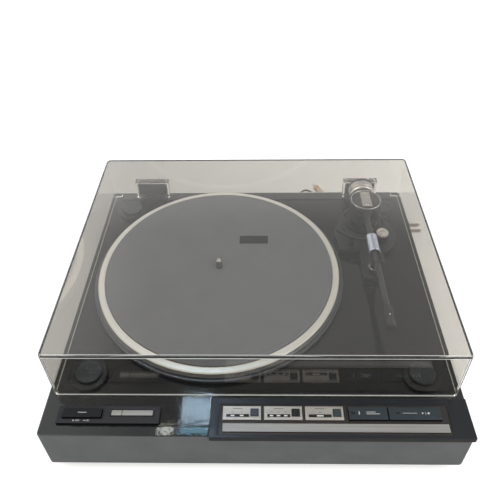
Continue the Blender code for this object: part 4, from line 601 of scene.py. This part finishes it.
# Leads and tails: their coils, and routes as in the part's source, with heights above the table
leads = {
    "power": {"x": 168, "y": 397, "radius": 30, "turns": 6.5, "pitch": 5.6, "cord": 2.5, "tail": 12.7, "route": (
        (198, 395.8, 24), (198, 402, 23.7), (198, 409, 22), (198, 415, 19.7), (196.4, 423.1, 16.1),
        (191.8, 429.9, 12.5), (185, 434.5, 9.5), (176.9, 436.1, 8.1), (173.3, 436.1, 8.1))},
    "audio": {"x": 40, "y": 397.5, "radius": 23.5, "turns": 6.5, "pitch": 5.1, "cord": 2.25, "tail": 15, "route": (
        (73, 385.8, 24), (73, 392, 23.7), (73, 399, 22.2), (73, 405.3, 20.2), (71.2, 414.5, 16.6),
        (66, 422.3, 12.6), (58.2, 427.5, 9.2), (49, 429.3, 7.35), (44.8, 429.3, 7.35))},
}
tails = {
    "left": ((68.6, 367.61, 2.25), (73, 367.8, 2.1), (80, 370.5, 1.6), (86.5, 378, 1.55), (90, 390, 1.55),
             (91, 404, 1.55), (92, 419, 1.55), (93.6, 434, 1.55), (93, 447, 1.55), (87.5, 456.5, 1.55),
             (79, 457, 1.6), (73.5, 450.5, 2.2), (70.5, 443.2, 4), (66.5, 440.2, 4.9), (62.3, 440, 5)),
    "right": ((68.6, 363.81, 2.25), (73, 363.8, 2.1), (82, 364.6, 1.6), (93, 369, 1.55), (103.5, 378, 1.55),
              (110.5, 390, 1.55), (114.5, 403, 1.55), (116, 415, 2.4), (114.8, 425.5, 4.2), (111.36, 434.27, 5)),
}


# Route and its two-layer coil, whose reach goes with the turns from the middle one, where it drops to the table
def coilPath(x, y, radius, turns, pitch, cord, tail, route, steps=40):
    half = turns / 2
    turn = np.linspace(-half, half, round(turns * steps) + 1)
    reach = radius + pitch * (np.abs(turn) - half / 2)
    angle = quarter + 2 * math.pi * (turn + half)
    height = tableZ + cord + pitch * (1 - ease(2 * (turn + 0.25)))
    loops = np.column_stack((x + reach * np.cos(angle), y + reach * np.sin(angle), height))
    return np.vstack([smoothRoute(route, 3), loops, loops[-1] + (tail, 0, 0)])


# Cord: a tube along its path, and that path
def makeCord(name, path, radius, nodes):
    path = fromDeck(path)
    return sweepTube(name, path, radius * mm, f"rubber plinth rubber {nodes}"), path


powerLead, audioLead = (
    makeCord(f"{side}Lead", coilPath(**values), values["cord"],
             f"{side}_cord {side}_cord_coil") for side, values in leads.items())
audioTails = [makeCord(f"audioTail_{side}", smoothRoute(route, 2), 1.5, f"audio_tail_{side}")
              for side, route in tails.items()]


# Tie round a coil's bundle: a flat band, whose section of (along, outwards) is carried round a rounded rectangle
def coilTie(name, coil, degrees=200, slack=(0.6, 0.35), corner=0.3, steps=6, rise=0.72):
    turn = math.radians(degrees)
    out = np.array([math.cos(turn), math.sin(turn), 0])
    along = np.array([-math.sin(turn), math.cos(turn), 0])
    wide = coil["pitch"] * coil["turns"] / 4 + coil["cord"] + slack[0]
    tall = coil["pitch"] / 2 + coil["cord"]
    middle = out * coil["radius"] + (coil["x"], coil["y"], tableZ + tall + rise)
    outline = roundedOutline(wide, tall + slack[1], coil["cord"] + corner, steps)
    tangent = np.roll(outline, -1, 0) - np.roll(outline, 1, 0)
    normal = tangent[:, ::-1] * (1, -1) / np.linalg.norm(tangent, axis=1)[:, None]
    grid = []
    for width, height in ((-2.2, 0), (-2, 0.35), (2, 0.35), (2.2, 0), (2, -0.25), (-2, -0.25)):
        flat = outline + normal * height
        grid.append(middle + flat[:, :1] * out + flat[:, 1:] * (0, 0, 1) + along * width)
    return ringSurface(name, fromDeck(grid), "satin plinth satin_black", True)


# Relief of the mains plug
relief = {"ends": (181, 213), "radius": (3.1, 4.4), "ripple": 0.25, "ripples": 7, "smooth": 0.85, "points": 40,
          "axis": 7.5, "climb": (0.2, 0.9), "clear": 0.02}


# Two-blade mains plug along x: a ribbed relief that climbs to its axis, and slabs for body, grips and blades
def makePowerPlug(ends, radius, ripple, ripples, smooth, points, axis, climb, clear):
    middle = float(np.mean([corner[1] for corner in boxOf("power_plug")]))
    look = "rubber plinth plug_plastic"
    (start, end), (thin, thick), (low, high) = ends, radius, climb
    along = np.linspace(0, 1, points)
    waves = np.clip(np.sin(along * ripples * 2 * math.pi), 0, 1) * (along < smooth)
    radius = thin + (thick - thin) * along + ripple * waves
    rise = np.maximum((axis - thick) * ease((along - low) / (high - low)), clear)
    run = np.column_stack([start + (end - start) * along, np.full(len(along), middle), tableZ + radius + rise])
    pieces = [sweepTube("powerPlugRelief", fromDeck(run), radius * mm, look)]
    rows = [("powerPlugBody", 211, 22, 0, 11.5, 0, 15, 4, 2.2, f"{look} power_plug")]
    rows += [(f"plugGrip_{index}", 215.5 + 3.2 * index, 1.4, 0, 7, 14.6, 15, 0.5, 0.2, look) for index in range(4)]
    rows += [(f"plugBlade_{index}", 232.5, 16.5, side * 6.35, 0.75, 4.33, 10.67, 0.6, 0.4,
              "blade plinth bright_steel") for index, side in enumerate((-1, 1))]
    for name, x, length, side, half, low, high, corner, edge, look in rows:
        near, far = (x, middle + side - half, tableZ + low), (x + length, middle + side + half, tableZ + high)
        pieces.append(slab(name, near, far, corner, edge, look))
    return pieces


# Phono plug: pin, shell, insert and ribbed sleeve, turned about one line
def makePhonoPlug(side, place, degrees):
    turn = math.radians(degrees)
    about = {"centre": (*place, tableZ + 5), "axis": (math.cos(turn), math.sin(turn), 0)}
    ribbed = [(5, h) for h in np.linspace(-18, -31.5, 46)]
    return [
        turned(f"phonoPin_{side}", "steel plinth bright_steel", ((0, 0), (0.9, 0, 0.2), (1.6, -1.2, 0.4),
               (1.6, -9.2), (0, -9.2)), steps=32, **about),
        turned(f"phonoShell_{side}", "gold plinth bright_steel", ((3.6, -9, 0.1), (4.3, -9, 0.1), (4.3, -17.2),
               (3.6, -17.2)), steps=48, ring=True, **about),
        turned(f"phonoInsert_{side}", "cream plinth cream", ((0, -10.2), (3.5, -10.2), (3.5, -17.1), (0, -17.1)),
               steps=32, **about),
        turned(f"phonoSleeve_{side}", f"cream plinth cream phono_plug_{side}", ((0, -17), (4.9, -17, 0.5), *ribbed,
               (5, -33, 0.8), (2, -39), (0, -39)), steps=48, wave=grooved(0.25, -31, -18.5, 3.2, 0.3), **about),
    ]


powerPlug = makePowerPlug(**relief)
phonoPlugs = makePhonoPlug("left", (23, 440), 180), makePhonoPlug("right", (95, 470), 114.6)
splitter = slab("audioSplitterBody", *boxOf("audio_splitter"), 1.8, 0.9, "rubber plinth rubber audio_splitter")
powerTie, audioTie = (coilTie(f"{side}CoilTie", coil) for side, coil in leads.items())

print("cords laid")


# Copy of a CAD node with its loose triangles merged and its flat faces made whole, so that it shades cleanly
def smoothCopy(node, look, bevel=0, near=1e-6, flat=0.5, sharp=40):
    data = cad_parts[node].data.copy()
    data.transform(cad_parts[node].matrix_basis)
    shape = bmesh.new()
    shape.from_mesh(data)
    bmesh.ops.remove_doubles(shape, verts=shape.verts, dist=near)
    bmesh.ops.dissolve_limit(shape, angle_limit=math.radians(flat), verts=shape.verts, edges=shape.edges)
    shape.to_mesh(data)
    shape.free()
    dress(f"{node}_shell", data, f"{look} {node}", sharp, bevel)


# Shells: look, nodes and, where they have one, the width of the bevel
shells = (
    ("cabinet plinth gloss_black", "cabinet"),
    ("hardboard plinth hardboard", "bottom_cover"),
    ("panel plinth panel_black", "power_panel"),
    ("controlPanel plinth panel_black", "control_panel"),
    ("brushed plinth silver", "speed_plate size_plate repeat_plate", 0.25),
    ("strip plinth silver", "name_strip", 0.25),
    ("powerKey power_key key_slate", "power_button"),
    ("slate speed_key key_slate", "speed_button"),
    ("blackKey size_key key_slate", "size_button"),
    ("green repeat_key key_slate", "repeat_button"),
    ("key lift_key key_slate", "lift_button"),
    ("key start_key key_slate", "start_button"),
    ("board plinth board", "control_board main_board"),
    ("core plinth motor", "transformer"),
    ("copper plinth motor", "motor_stator"),
    ("steel turning_platter motor", "motor_rotor"),
    ("satin plinth satin_black", "arm_base", 0.8),
    ("satin plinth satin_black", "arm_pillar"),
    ("armBlack arm_housing arm_black", "pivot_housing", 0.4),
    ("tube arm arm_black", "arm_tube"),
    ("satin lift satin_black", "lift_bar", 0.5),
    ("satin plinth satin_black", "arm_rest", 0.35),
    ("darkChrome latch chrome", "rest_latch", 0.3),
    ("satin plinth hinge_black", "hinge_block_left hinge_block_right", 0.5),
    ("satin lid hinge_black", "hinge_leaf_left hinge_leaf_right", 0.6),
    ("steel plinth bright_steel", "hinge_pin_left hinge_pin_right"),
    ("clear lid clear_plastic", "dust_cover"),
)
for look, nodes, *bevel in shells:
    for node in nodes.split():
        smoothCopy(node, look, *bevel)
print("shells copied")

# Platter: grey flange and web, silver ring, rubber mat with its rim, bare plate, spindle
turned("platterWeb", "flange turning_platter platter_metal platter", (
    (3.9, 10.6), (144.9, 10.6), (145.9, 10.5, 0.2), (148.2, 8, 0.4), (148.2, 6.5, 0.3), (146.2, 6.5), (146.2, 5.8),
    (151, 5.8, 0.5), (151, 2, 0.4), (143, 2), (143, 7.6), (9, 7.6), (9, 5, 0.5), (3.9, 5)), **platter)
turned("platterRing", "ring turning_platter platter_metal", (
    (137.95, 10.65), (137.95, 12, 0.25), (138.7, 12.25, 0.15), (139.2, 12, 0.15), (145, 12, 0.8), (145.9, 10.9, 0.2),
    (145.7, 10.65)), **platter)
turned("matDisc", "matRubber turning_platter mat_rubber platter_mat", (
    (3.9, 13.6, 0.3), (133, 13.6), (133.6, 14, 0.2), (137.6, 14, 0.5), (137.6, 10.9), (3.9, 10.9)), **platter)
slab("matPlate", (-20.3, 247, 13.5), (15.8, 261, 14.1), 0.8, 0.2, "window turning_platter")
turned("spindlePin", "spindleSteel turning_platter bright_steel spindle", (
    (0, 28), (0.8, 27.9, 0.5), (3.6, 24.6, 1.6), (3.6, -30), (0, -30)), platter["centre"], steps=48)
print("platter made")

# Feet and the round caps above them
for name, x, y in (("front_left", -172.5, 66.5), ("front_right", 172.5, 66.5), ("rear_left", -172.5, 325),
                   ("rear_right", 172.5, 325)):
    turned(f"footPad_{name}", f"footRubber plinth rubber foot_{name}", (
        (0, 12.7), (22, 12.7, 1), (23.4, 4.5, 0.4), (22.4, 4, 0.4), (22.4, 3.2, 0.4), (23.7, 2.8, 0.4),
        (24, 1.5, 0.5), (22.5, 0, 0.5), (0, 0)), (x, y, tableZ), steps=72)
    turned(f"capRing_{name}", f"armBlack plinth satin_black foot_cap_{name}", (
        (0, 6), (12, 6), (12, 4.9), (18.4, 5, 0.6), (19.2, 3.8, 0.6), (19.2, 0.3), (0, 0.3)), (x, y, 0))
    turned(f"capDisc_{name}", "cap plinth satin_black", (
        (0, 7.8), (11.2, 7.8), (11.6, 8, 0.2), (13.1, 8, 0.9), (13.1, 5.1, 0.2), (0, 5.1)), (x, y, 0))
print("feet and caps made")


# Strain relief: a grooved cone from the radius of its relief to the cord's
def makeGland(name, x, flange, relief, length, cord, face=3.5, pitch=2.6, points=70):
    end = face + length
    rise = np.linspace(face + 0.8, end - 0.5, points)
    cone = [(relief + (cord + 0.6 - relief) * (h - face) / length, h) for h in rise]
    profile = [(0, -8), (4.8, -8, 0.6), (5, 0.3), (flange, 0.3), (flange, face, 0.9), *cone, (cord + 0.3, end),
               (0, end)]
    turned(f"{name}_relief", f"rubber plinth rubber {name}", profile, (x, 368, tableZ + 24), (0, 1, 0), 56,
           wave=grooved(0.55, face + 2.5, end - 2, 2 * math.pi / pitch, 0.1))


makeGland("power_gland", 198, 7.5, 5.2, 24, 2.5)
makeGland("audio_gland", 73, 6.5, 4.2, 14, 2.25)
print("glands made")


# Words and numbers as thin flat pieces just above a surface, made a mesh before they are placed
def makeWords(name, text, place, size, look, depth=0.06, sharp=30, curveSteps=3):
    lift = depth * mm / 2
    curve = bpy.data.curves.new(name, "FONT")
    curve.body = text
    curve.size = size * mm
    curve.extrude = lift
    curve.align_x = curve.align_y = "CENTER"
    curve.resolution_u = curveSteps
    writing = newObject(name, curve)
    data = bpy.data.meshes.new_from_object(writing.evaluated_get(bpy.context.evaluated_depsgraph_get()))
    bpy.data.objects.remove(writing)
    data.transform(Matrix.Translation(Vector(fromDeck(place)) + Vector((0, 0, lift))))
    dress(name, data, look, sharp)


# Arrow head: a triangle of three points round (x, y), lofted over a small height
def arrow(name, x, y, z, size, heading, body):
    turns = math.radians(heading) + np.array([0, 2 * math.pi / 3, 4 * math.pi / 3])
    flat = np.column_stack([x + size * np.cos(turns), y + size * np.sin(turns)])
    grid = [np.column_stack([flat, np.full(3, h)]) for h in (z, z + 0.12)]
    ringSurface(name, fromDeck(grid), f"mark {body}")


controls = {"left": -31, "pitch": 40.3, "top": 3.1, "window": (3.3, 18.6), "size": (22.3, 3.2), "gap": 0.05,
            "heights": (-0.5, 2.75), "lamp": 2.72, "words": 23.7, "title": (14.4, 27.4)}
# Lamps of each window: place as a share of its width, width of the lamp, number
dashes = {"speed": ((0.28, 3.6, "33"), (0.68, 3.6, "45")),
          "size": ((0.18, 3.2, "17"), (0.48, 3.6, "25"), (0.8, 3.4, "30")), "repeat": ((0.5, 6.4, ""),)}
for index, (kind, places) in enumerate(dashes.items()):
    left = controls["left"] + index * controls["pitch"]
    low = np.array([left + controls["window"][0], controls["window"][1], controls["heights"][0]])
    high = np.array([*(low[:2] + controls["size"]), controls["heights"][1]])
    gap = controls["gap"] * np.array([1, 1, 0])
    slab(f"{kind}Window", low + gap, high - gap, 0.3, 0.1, "window plinth panel_black")
    for count, (share, width, text) in enumerate(places):
        x = low[0] + share * controls["size"][0]
        bar(f"{kind}Dash_{count}", x, (low[1] + high[1]) / 2, controls["lamp"], width, 1.35, "lamp plinth", 0.14)
        if text:
            makeWords(f"{kind}Label_{count}", text, (x, controls["words"], controls["top"]), 2.1, "darkMark plinth")
    bar(f"{kind}TitleLine", left + controls["title"][0], controls["title"][1], controls["top"], 9.5, 0.5,
        "darkMark plinth", 0.06)
# Marks and lamps of the keys: x, y, z, width, depth, look and, where not as usual, height and corner
for row in (
    ("repeatLine", 64, 23.7, 3.1, 3.4, 0.5, "darkMark plinth", 0.06),
    ("liftLamp", 95.8, 22.6, 4.15, 3.4, 2, "window lift_key", 0.25, 0.2),
    ("liftMarkLine_0", 113.5, 23.6, 4.2, 9, 0.4, "mark lift_key"),
    ("liftMarkLine_1", 115.5, 21.7, 4.2, 13, 0.4, "mark lift_key"),
    ("startLamp", 139.4, 22.6, 4.15, 3.4, 2, "window start_key", 0.25, 0.2),
    ("startMarkLine", 151, 22.6, 4.2, 14, 0.3, "mark start_key"),
    ("startMarkSlash", 166.4, 22.6, 4.2, 0.35, 2.2, "mark start_key"),
    ("startMarkStop", 169.2, 22.6, 4.2, 1.7, 1.7, "mark start_key"),
    ("powerMark", -168.8, 21, 6, 8.5, 0.45, "mark power_key"),
    ("powerOffSquare", -176.6, 14.2, 3, 1.3, 1.1, "mark plinth"),
    ("powerOnSquare", -166, 14.2, 3, 1.3, 0.7, "mark plinth"),
):
    bar(*row)
arrow("liftMarkUp", 102, 23.5, 4.2, 0.95, 90, "lift_key")
arrow("liftMarkDown", 102, 21.6, 4.2, 0.95, 270, "lift_key")
arrow("startMarkPlay", 163.4, 22.6, 4.2, 1.1, 0, "start_key")
makeWords("powerOff", "OFF", (-172.6, 14.2, 3), 2.2, "mark plinth")
makeWords("powerOn", "ON", (-162.7, 14.2, 3), 2.2, "mark plinth")
slab("badgeFrame", (-142.8, 17.6, 2.9), (-97.7, 26.3, 3.04), 0.5, 0.03, "window plinth panel_black")
slab("badgePlateLeft", (-140.6, 19.7, 2.25), (-130.6, 24.9, 3.25), 0.4, 0.2, "strip plinth silver")
slab("badgePlateRight", (-130, 19.7, 2.25), (-99.9, 24.9, 3.25), 0.4, 0.2, "strip plinth silver")
print("front panels dressed")

# Tonearm: everything turned about the pivot's upright axis or along the arm, which points forwards
pivot = (143.4, 293.6, 33)
upright = {"centre": (*pivot[:2], 0), "ring": True}
forward = {"centre": pivot, "axis": (0, -1, 0)}
backward = {"centre": pivot, "axis": (0, 1, 0), "steps": 128, "ring": True}
turned("baseRing", "satin plinth satin_black", ((26.4, 7.9), (26.4, 9.4, 0.6), (31.4, 9.4, 0.6), (31.4, 7.9)),
       steps=128, **upright)
turned("pillarTop", "armBlack plinth satin_black", (
    (19, 20.6), (19, 22.55, 0.4), (19.6, 22.55, 0.2), (19.6, 20.6)), **upright)
turned("housingRing", "silver arm_housing chrome", (
    (18.3, 46.6), (18.3, 47.8, 0.3), (19.1, 47.8, 0.3), (19.1, 46.6)), **upright)
slab("housingBridge", (pivot[0] - 6.2, pivot[1] - 14.7, 47.9), (pivot[0] + 6.2, pivot[1] + 14.7, 48.75), 0.6, 0.3,
     "brushed arm_housing silver")
for index, side in enumerate((-1, 1)):
    turned(f"bridgeScrew_{index}", "steel arm_housing bright_steel", (
        (0, 0.35), (1, 0.35), (1.05, 0.55), (1.9, 0.7, 0.3), (2.1, 0, 0.1), (0, 0)),
        (pivot[0], pivot[1] + side * 11.6, 48.7), steps=32)
turned("sleeveShell", "sleeve arm silver damping_sleeve", (
    (3.8, 54.6), (6.2, 54.6, 0.3), (7, 55.4, 0.5), (7, 82, 0.5), (6.4, 82.6, 0.3), (5.7, 82.4, 0.2), (5.5, 79),
    (3.8, 79)), steps=72, ring=True, **forward)
turned("sleeveInsert", "brown arm arm_black", ((3.7, 78.5), (5.45, 78.5), (5.45, 80.6, 0.4), (3.7, 81.4)),
       steps=64, ring=True, **forward)
turned("tubeFinger", "armBlack arm arm_black", ((3.45, 100), (3.75, 100, 0.2), (3.75, 101.6, 0.2), (3.45, 101.6)),
       steps=48, ring=True, **forward)
turned("collarShell", "armBlack collar arm_black locking_collar", (
    (3.8, 166.1), (5, 166.1, 0.3), (5.5, 166.8), *[(5.5, h) for h in np.linspace(167.6, 183.4, 24)],
    (5.1, 184.2, 0.2), (5.1, 185, 0.2), (5.5, 185.6, 0.2), (5.5, 191.4, 0.3), (4.9, 192.1, 0.3), (3.8, 192.1)),
    steps=144, ring=True, wave=grooved(0.22, 168, 183, 36, 0, True), **forward)
# Collar stud: a small stud coloured pale as a painted highlight, the glint on its head
turned("collarStud", "lamp collar bright_steel", ((0, 0.9), (0.9, 0.7, 0.3), (1.1, 0, 0.1), (0, -0.3)),
       (pivot[0], pivot[1] - 178.4, 38.3), steps=24)
turned("socketPlate", "cream arm cream", ((0, 174.4), (3.4, 174.4), (3.4, 173.2), (0, 173.2)), steps=40, **forward)
for index, (x, z) in enumerate(((-1.3, 1.3), (1.3, 1.3), (-1.3, -1.3), (1.3, -1.3))):
    turned(f"socketPin_{index}", "gold arm bright_steel", ((0, 191.6), (0.55, 191.2, 0.3), (0.55, 173.6), (0, 173.6)),
           (pivot[0] + x, pivot[1], pivot[2] + z), forward["axis"], 16)

turned("weightDrum", "weight weight silver counterweight", (
    (3.5, 37.3), (16.6, 37.3, 0.3), (16.8, 34.4, 0.2), (16.1, 34), (16.1, 33.4), (16.8, 33, 0.2), (16.8, 29.4, 0.2),
    (16.2, 28.8), (16.2, 28.2), (16.8, 27.7, 0.2), (16.8, 23.5, 0.3), (15.8, 22.5, 0.4), (13.2, 22.5, 0.2),
    (12.6, 23.2, 0.2), (3.5, 23.2)), **backward)
turned("weightRear", "rubber weight rubber", (
    (3.5, 43.5), (14.6, 43.5, 0.4), (16, 43.1, 0.7), (16.6, 42, 0.5), (16.6, 37.7, 0.2), (15.6, 37.2), (3.5, 37.2)),
    **backward)
turned("weightEdge", "chrome weight chrome", ((16.6, 23), (16.95, 23.6, 0.2), (16.95, 24.4, 0.2), (16.6, 24.6)),
       **backward)
ticks = {"count": 48, "each": 4, "short": 2, "long": 3, "radius": 16.82, "start": 24.8, "half": (0.12, 0.1)}


# Scale ticks round the counterweight: thin boxes on circles of the drum, every fourth one longer
def makeTicks(count, each, short, long, radius, start, half):
    wide, tall = half
    across, along, out = np.array([(x, y, z) for z in (-tall, tall) for y in (0, 1) for x in (-wide, wide)]).T
    index = np.arange(count)[:, None]
    turn = 2 * math.pi * index / count
    reach = np.where(index % each, short, long)
    radius = radius + out
    points = pivot + np.stack([np.cos(turn) * across + np.sin(turn) * radius, start + reach * along,
                               np.cos(turn) * radius - np.sin(turn) * across], -1)
    box = ((0, 1, 3, 2), (4, 6, 7, 5), (0, 4, 5, 1), (2, 3, 7, 6), (0, 2, 6, 4), (1, 5, 7, 3))
    faces = (8 * index[..., None] + np.array(box)).reshape(-1, 4).tolist()
    newPiece("weightTicks", fromDeck(points.reshape(-1, 3)), faces, "darkMark weight")


makeTicks(**ticks)
knob = {"centre": (162.3, 258.5, 0)}
dial = {"ticks": 8, "first": 150, "pitch": 30, "reach": 6.5, "top": 22.98}
turned("knobBody", "brown knob satin_black anti_skate_knob", (
    (0, 19.6), (6.6, 19.6), (7, 19.2, 0.2), *[(7, h) for h in np.linspace(18.9, 9.6, 12)], (7, 9), (6.6, 8.3),
    (0, 8.3)), wave=grooved(0.25, 9.5, 18.8, 24, 0.2, True), **knob)
turned("knobCap", "dial knob silver", (
    (0, 22.7), (5.6, 22.7), (5.9, 23, 0.2), (7.1, 23, 0.5), (7.7, 22.4, 0.3), (7.7, 19.7, 0.3), (7.1, 19.4),
    (0, 19.4)), **knob)
for index in range(dial["ticks"]):
    turn = math.radians(dial["first"] - index * dial["pitch"])
    x, y = knob["centre"][:2] + dial["reach"] * np.array([math.cos(turn), math.sin(turn)])
    bar(f"knobTick_{index}", x, y, dial["top"], 0.5, 0.5, "darkMark knob", 0.06)
turned("restRing", "chrome plinth chrome", ((4.5, 15.9), (4.5, 17.15, 0.3), (6.15, 17.15, 0.3), (6.15, 15.9)),
       (pivot[0], pivot[1] - 89, 0), steps=64, ring=True)
print("tonearm dressed")

# Screws of the bottom cover, heads down: radius, rise and slot as shares of the radius
screws = {"z": -57, "radius": 3.2, "rise": 1.2, "slot": (0.13, 0.55), "deep": 0.45, "dome": 0.94, "rings": 22,
          "steps": 64, "sharp": 50}
screwColumns, screwRows = (-190, -64, 64, 190), (9, 184, 359)


# Screw: a domed head with a cross slot pressed in, as a grid of height over radius and angle
def makeScrew(name, x, y, z, radius, rise, slot, deep, dome, rings, steps, sharp):
    reach = np.linspace(0, 1, rings)[1:, None]
    angles = np.linspace(0, 2 * math.pi, steps, endpoint=False)[None]
    across, along = reach * np.cos(angles), reach * np.sin(angles)
    near, far = np.minimum(abs(across), abs(along)), np.maximum(abs(across), abs(along))
    pressed = (near < slot[0]) & (far < slot[1])
    height = rise * (np.sqrt(np.clip(1 - (reach * dome) ** 2, 0, 1)) - deep * pressed)
    top = np.stack([radius * across, radius * along, -height], -1)[::-1]
    sole = top[:1] * (1, 1, 0) + (0, 0, 0.2)
    ringSurface(name, fromDeck(np.concatenate([sole, top]) + (x, y, z)), "steel plinth bright_steel",
                angle=sharp)


places = [(x, y) for y in screwRows for x in screwColumns if not (y == screwRows[1] and abs(x) < 100)]
for index, (x, y) in enumerate(places):
    makeScrew(f"coverScrew_{index}", x, y, **screws)
print("screws made")

lidHighlightValues = {"level": 0.3, "thick": 0.05, "pockets": (130, 162), "points": 60, "radius": 0.22, "steps": 10}


# Painted highlights of the clear cover: thin pale strips on the sawn ends of its walls, and thin pale tubes along its
# front rim, standing for light caught in its edges
def makeLidHighlights(level, thick, pockets, points, radius, steps):
    half, wall, corner, front, back, gap = (lid[key] for key in ("half", "wall", "corner", "front", "back", "gap"))
    inner, outer = pockets
    strips = [(-half, front + corner, wall - half, back - corner), (half - wall, front + corner, half, back - corner),
              (corner - half, front, half - corner, front + wall)]
    strips += [(left, back - wall, right, back) for left, right in ((-gap, -outer), (-inner, inner), (outer, gap))]
    for index, (left, near, right, far) in enumerate(strips):
        z = level if index < 3 else lid["rear"]
        slab(f"lidEdgeHighlight_{index}", (left, near, z - thick), (right, far, z + thick), 0.3, 0, "edge lid")
    reach = half - lid["rim"] - 1
    x = np.linspace(-reach, reach, points)
    for index, (y, z) in enumerate(((front + lid["rim"], lid["top"]), (front, lid["top"] - lid["rim"]))):
        run = np.column_stack([x, np.full(len(x), y), np.full(len(x), z)])
        sweepTube(f"lidRimHighlight_{index}", fromDeck(run), radius * mm, "edge lid", steps)


makeLidHighlights(**lidHighlightValues)
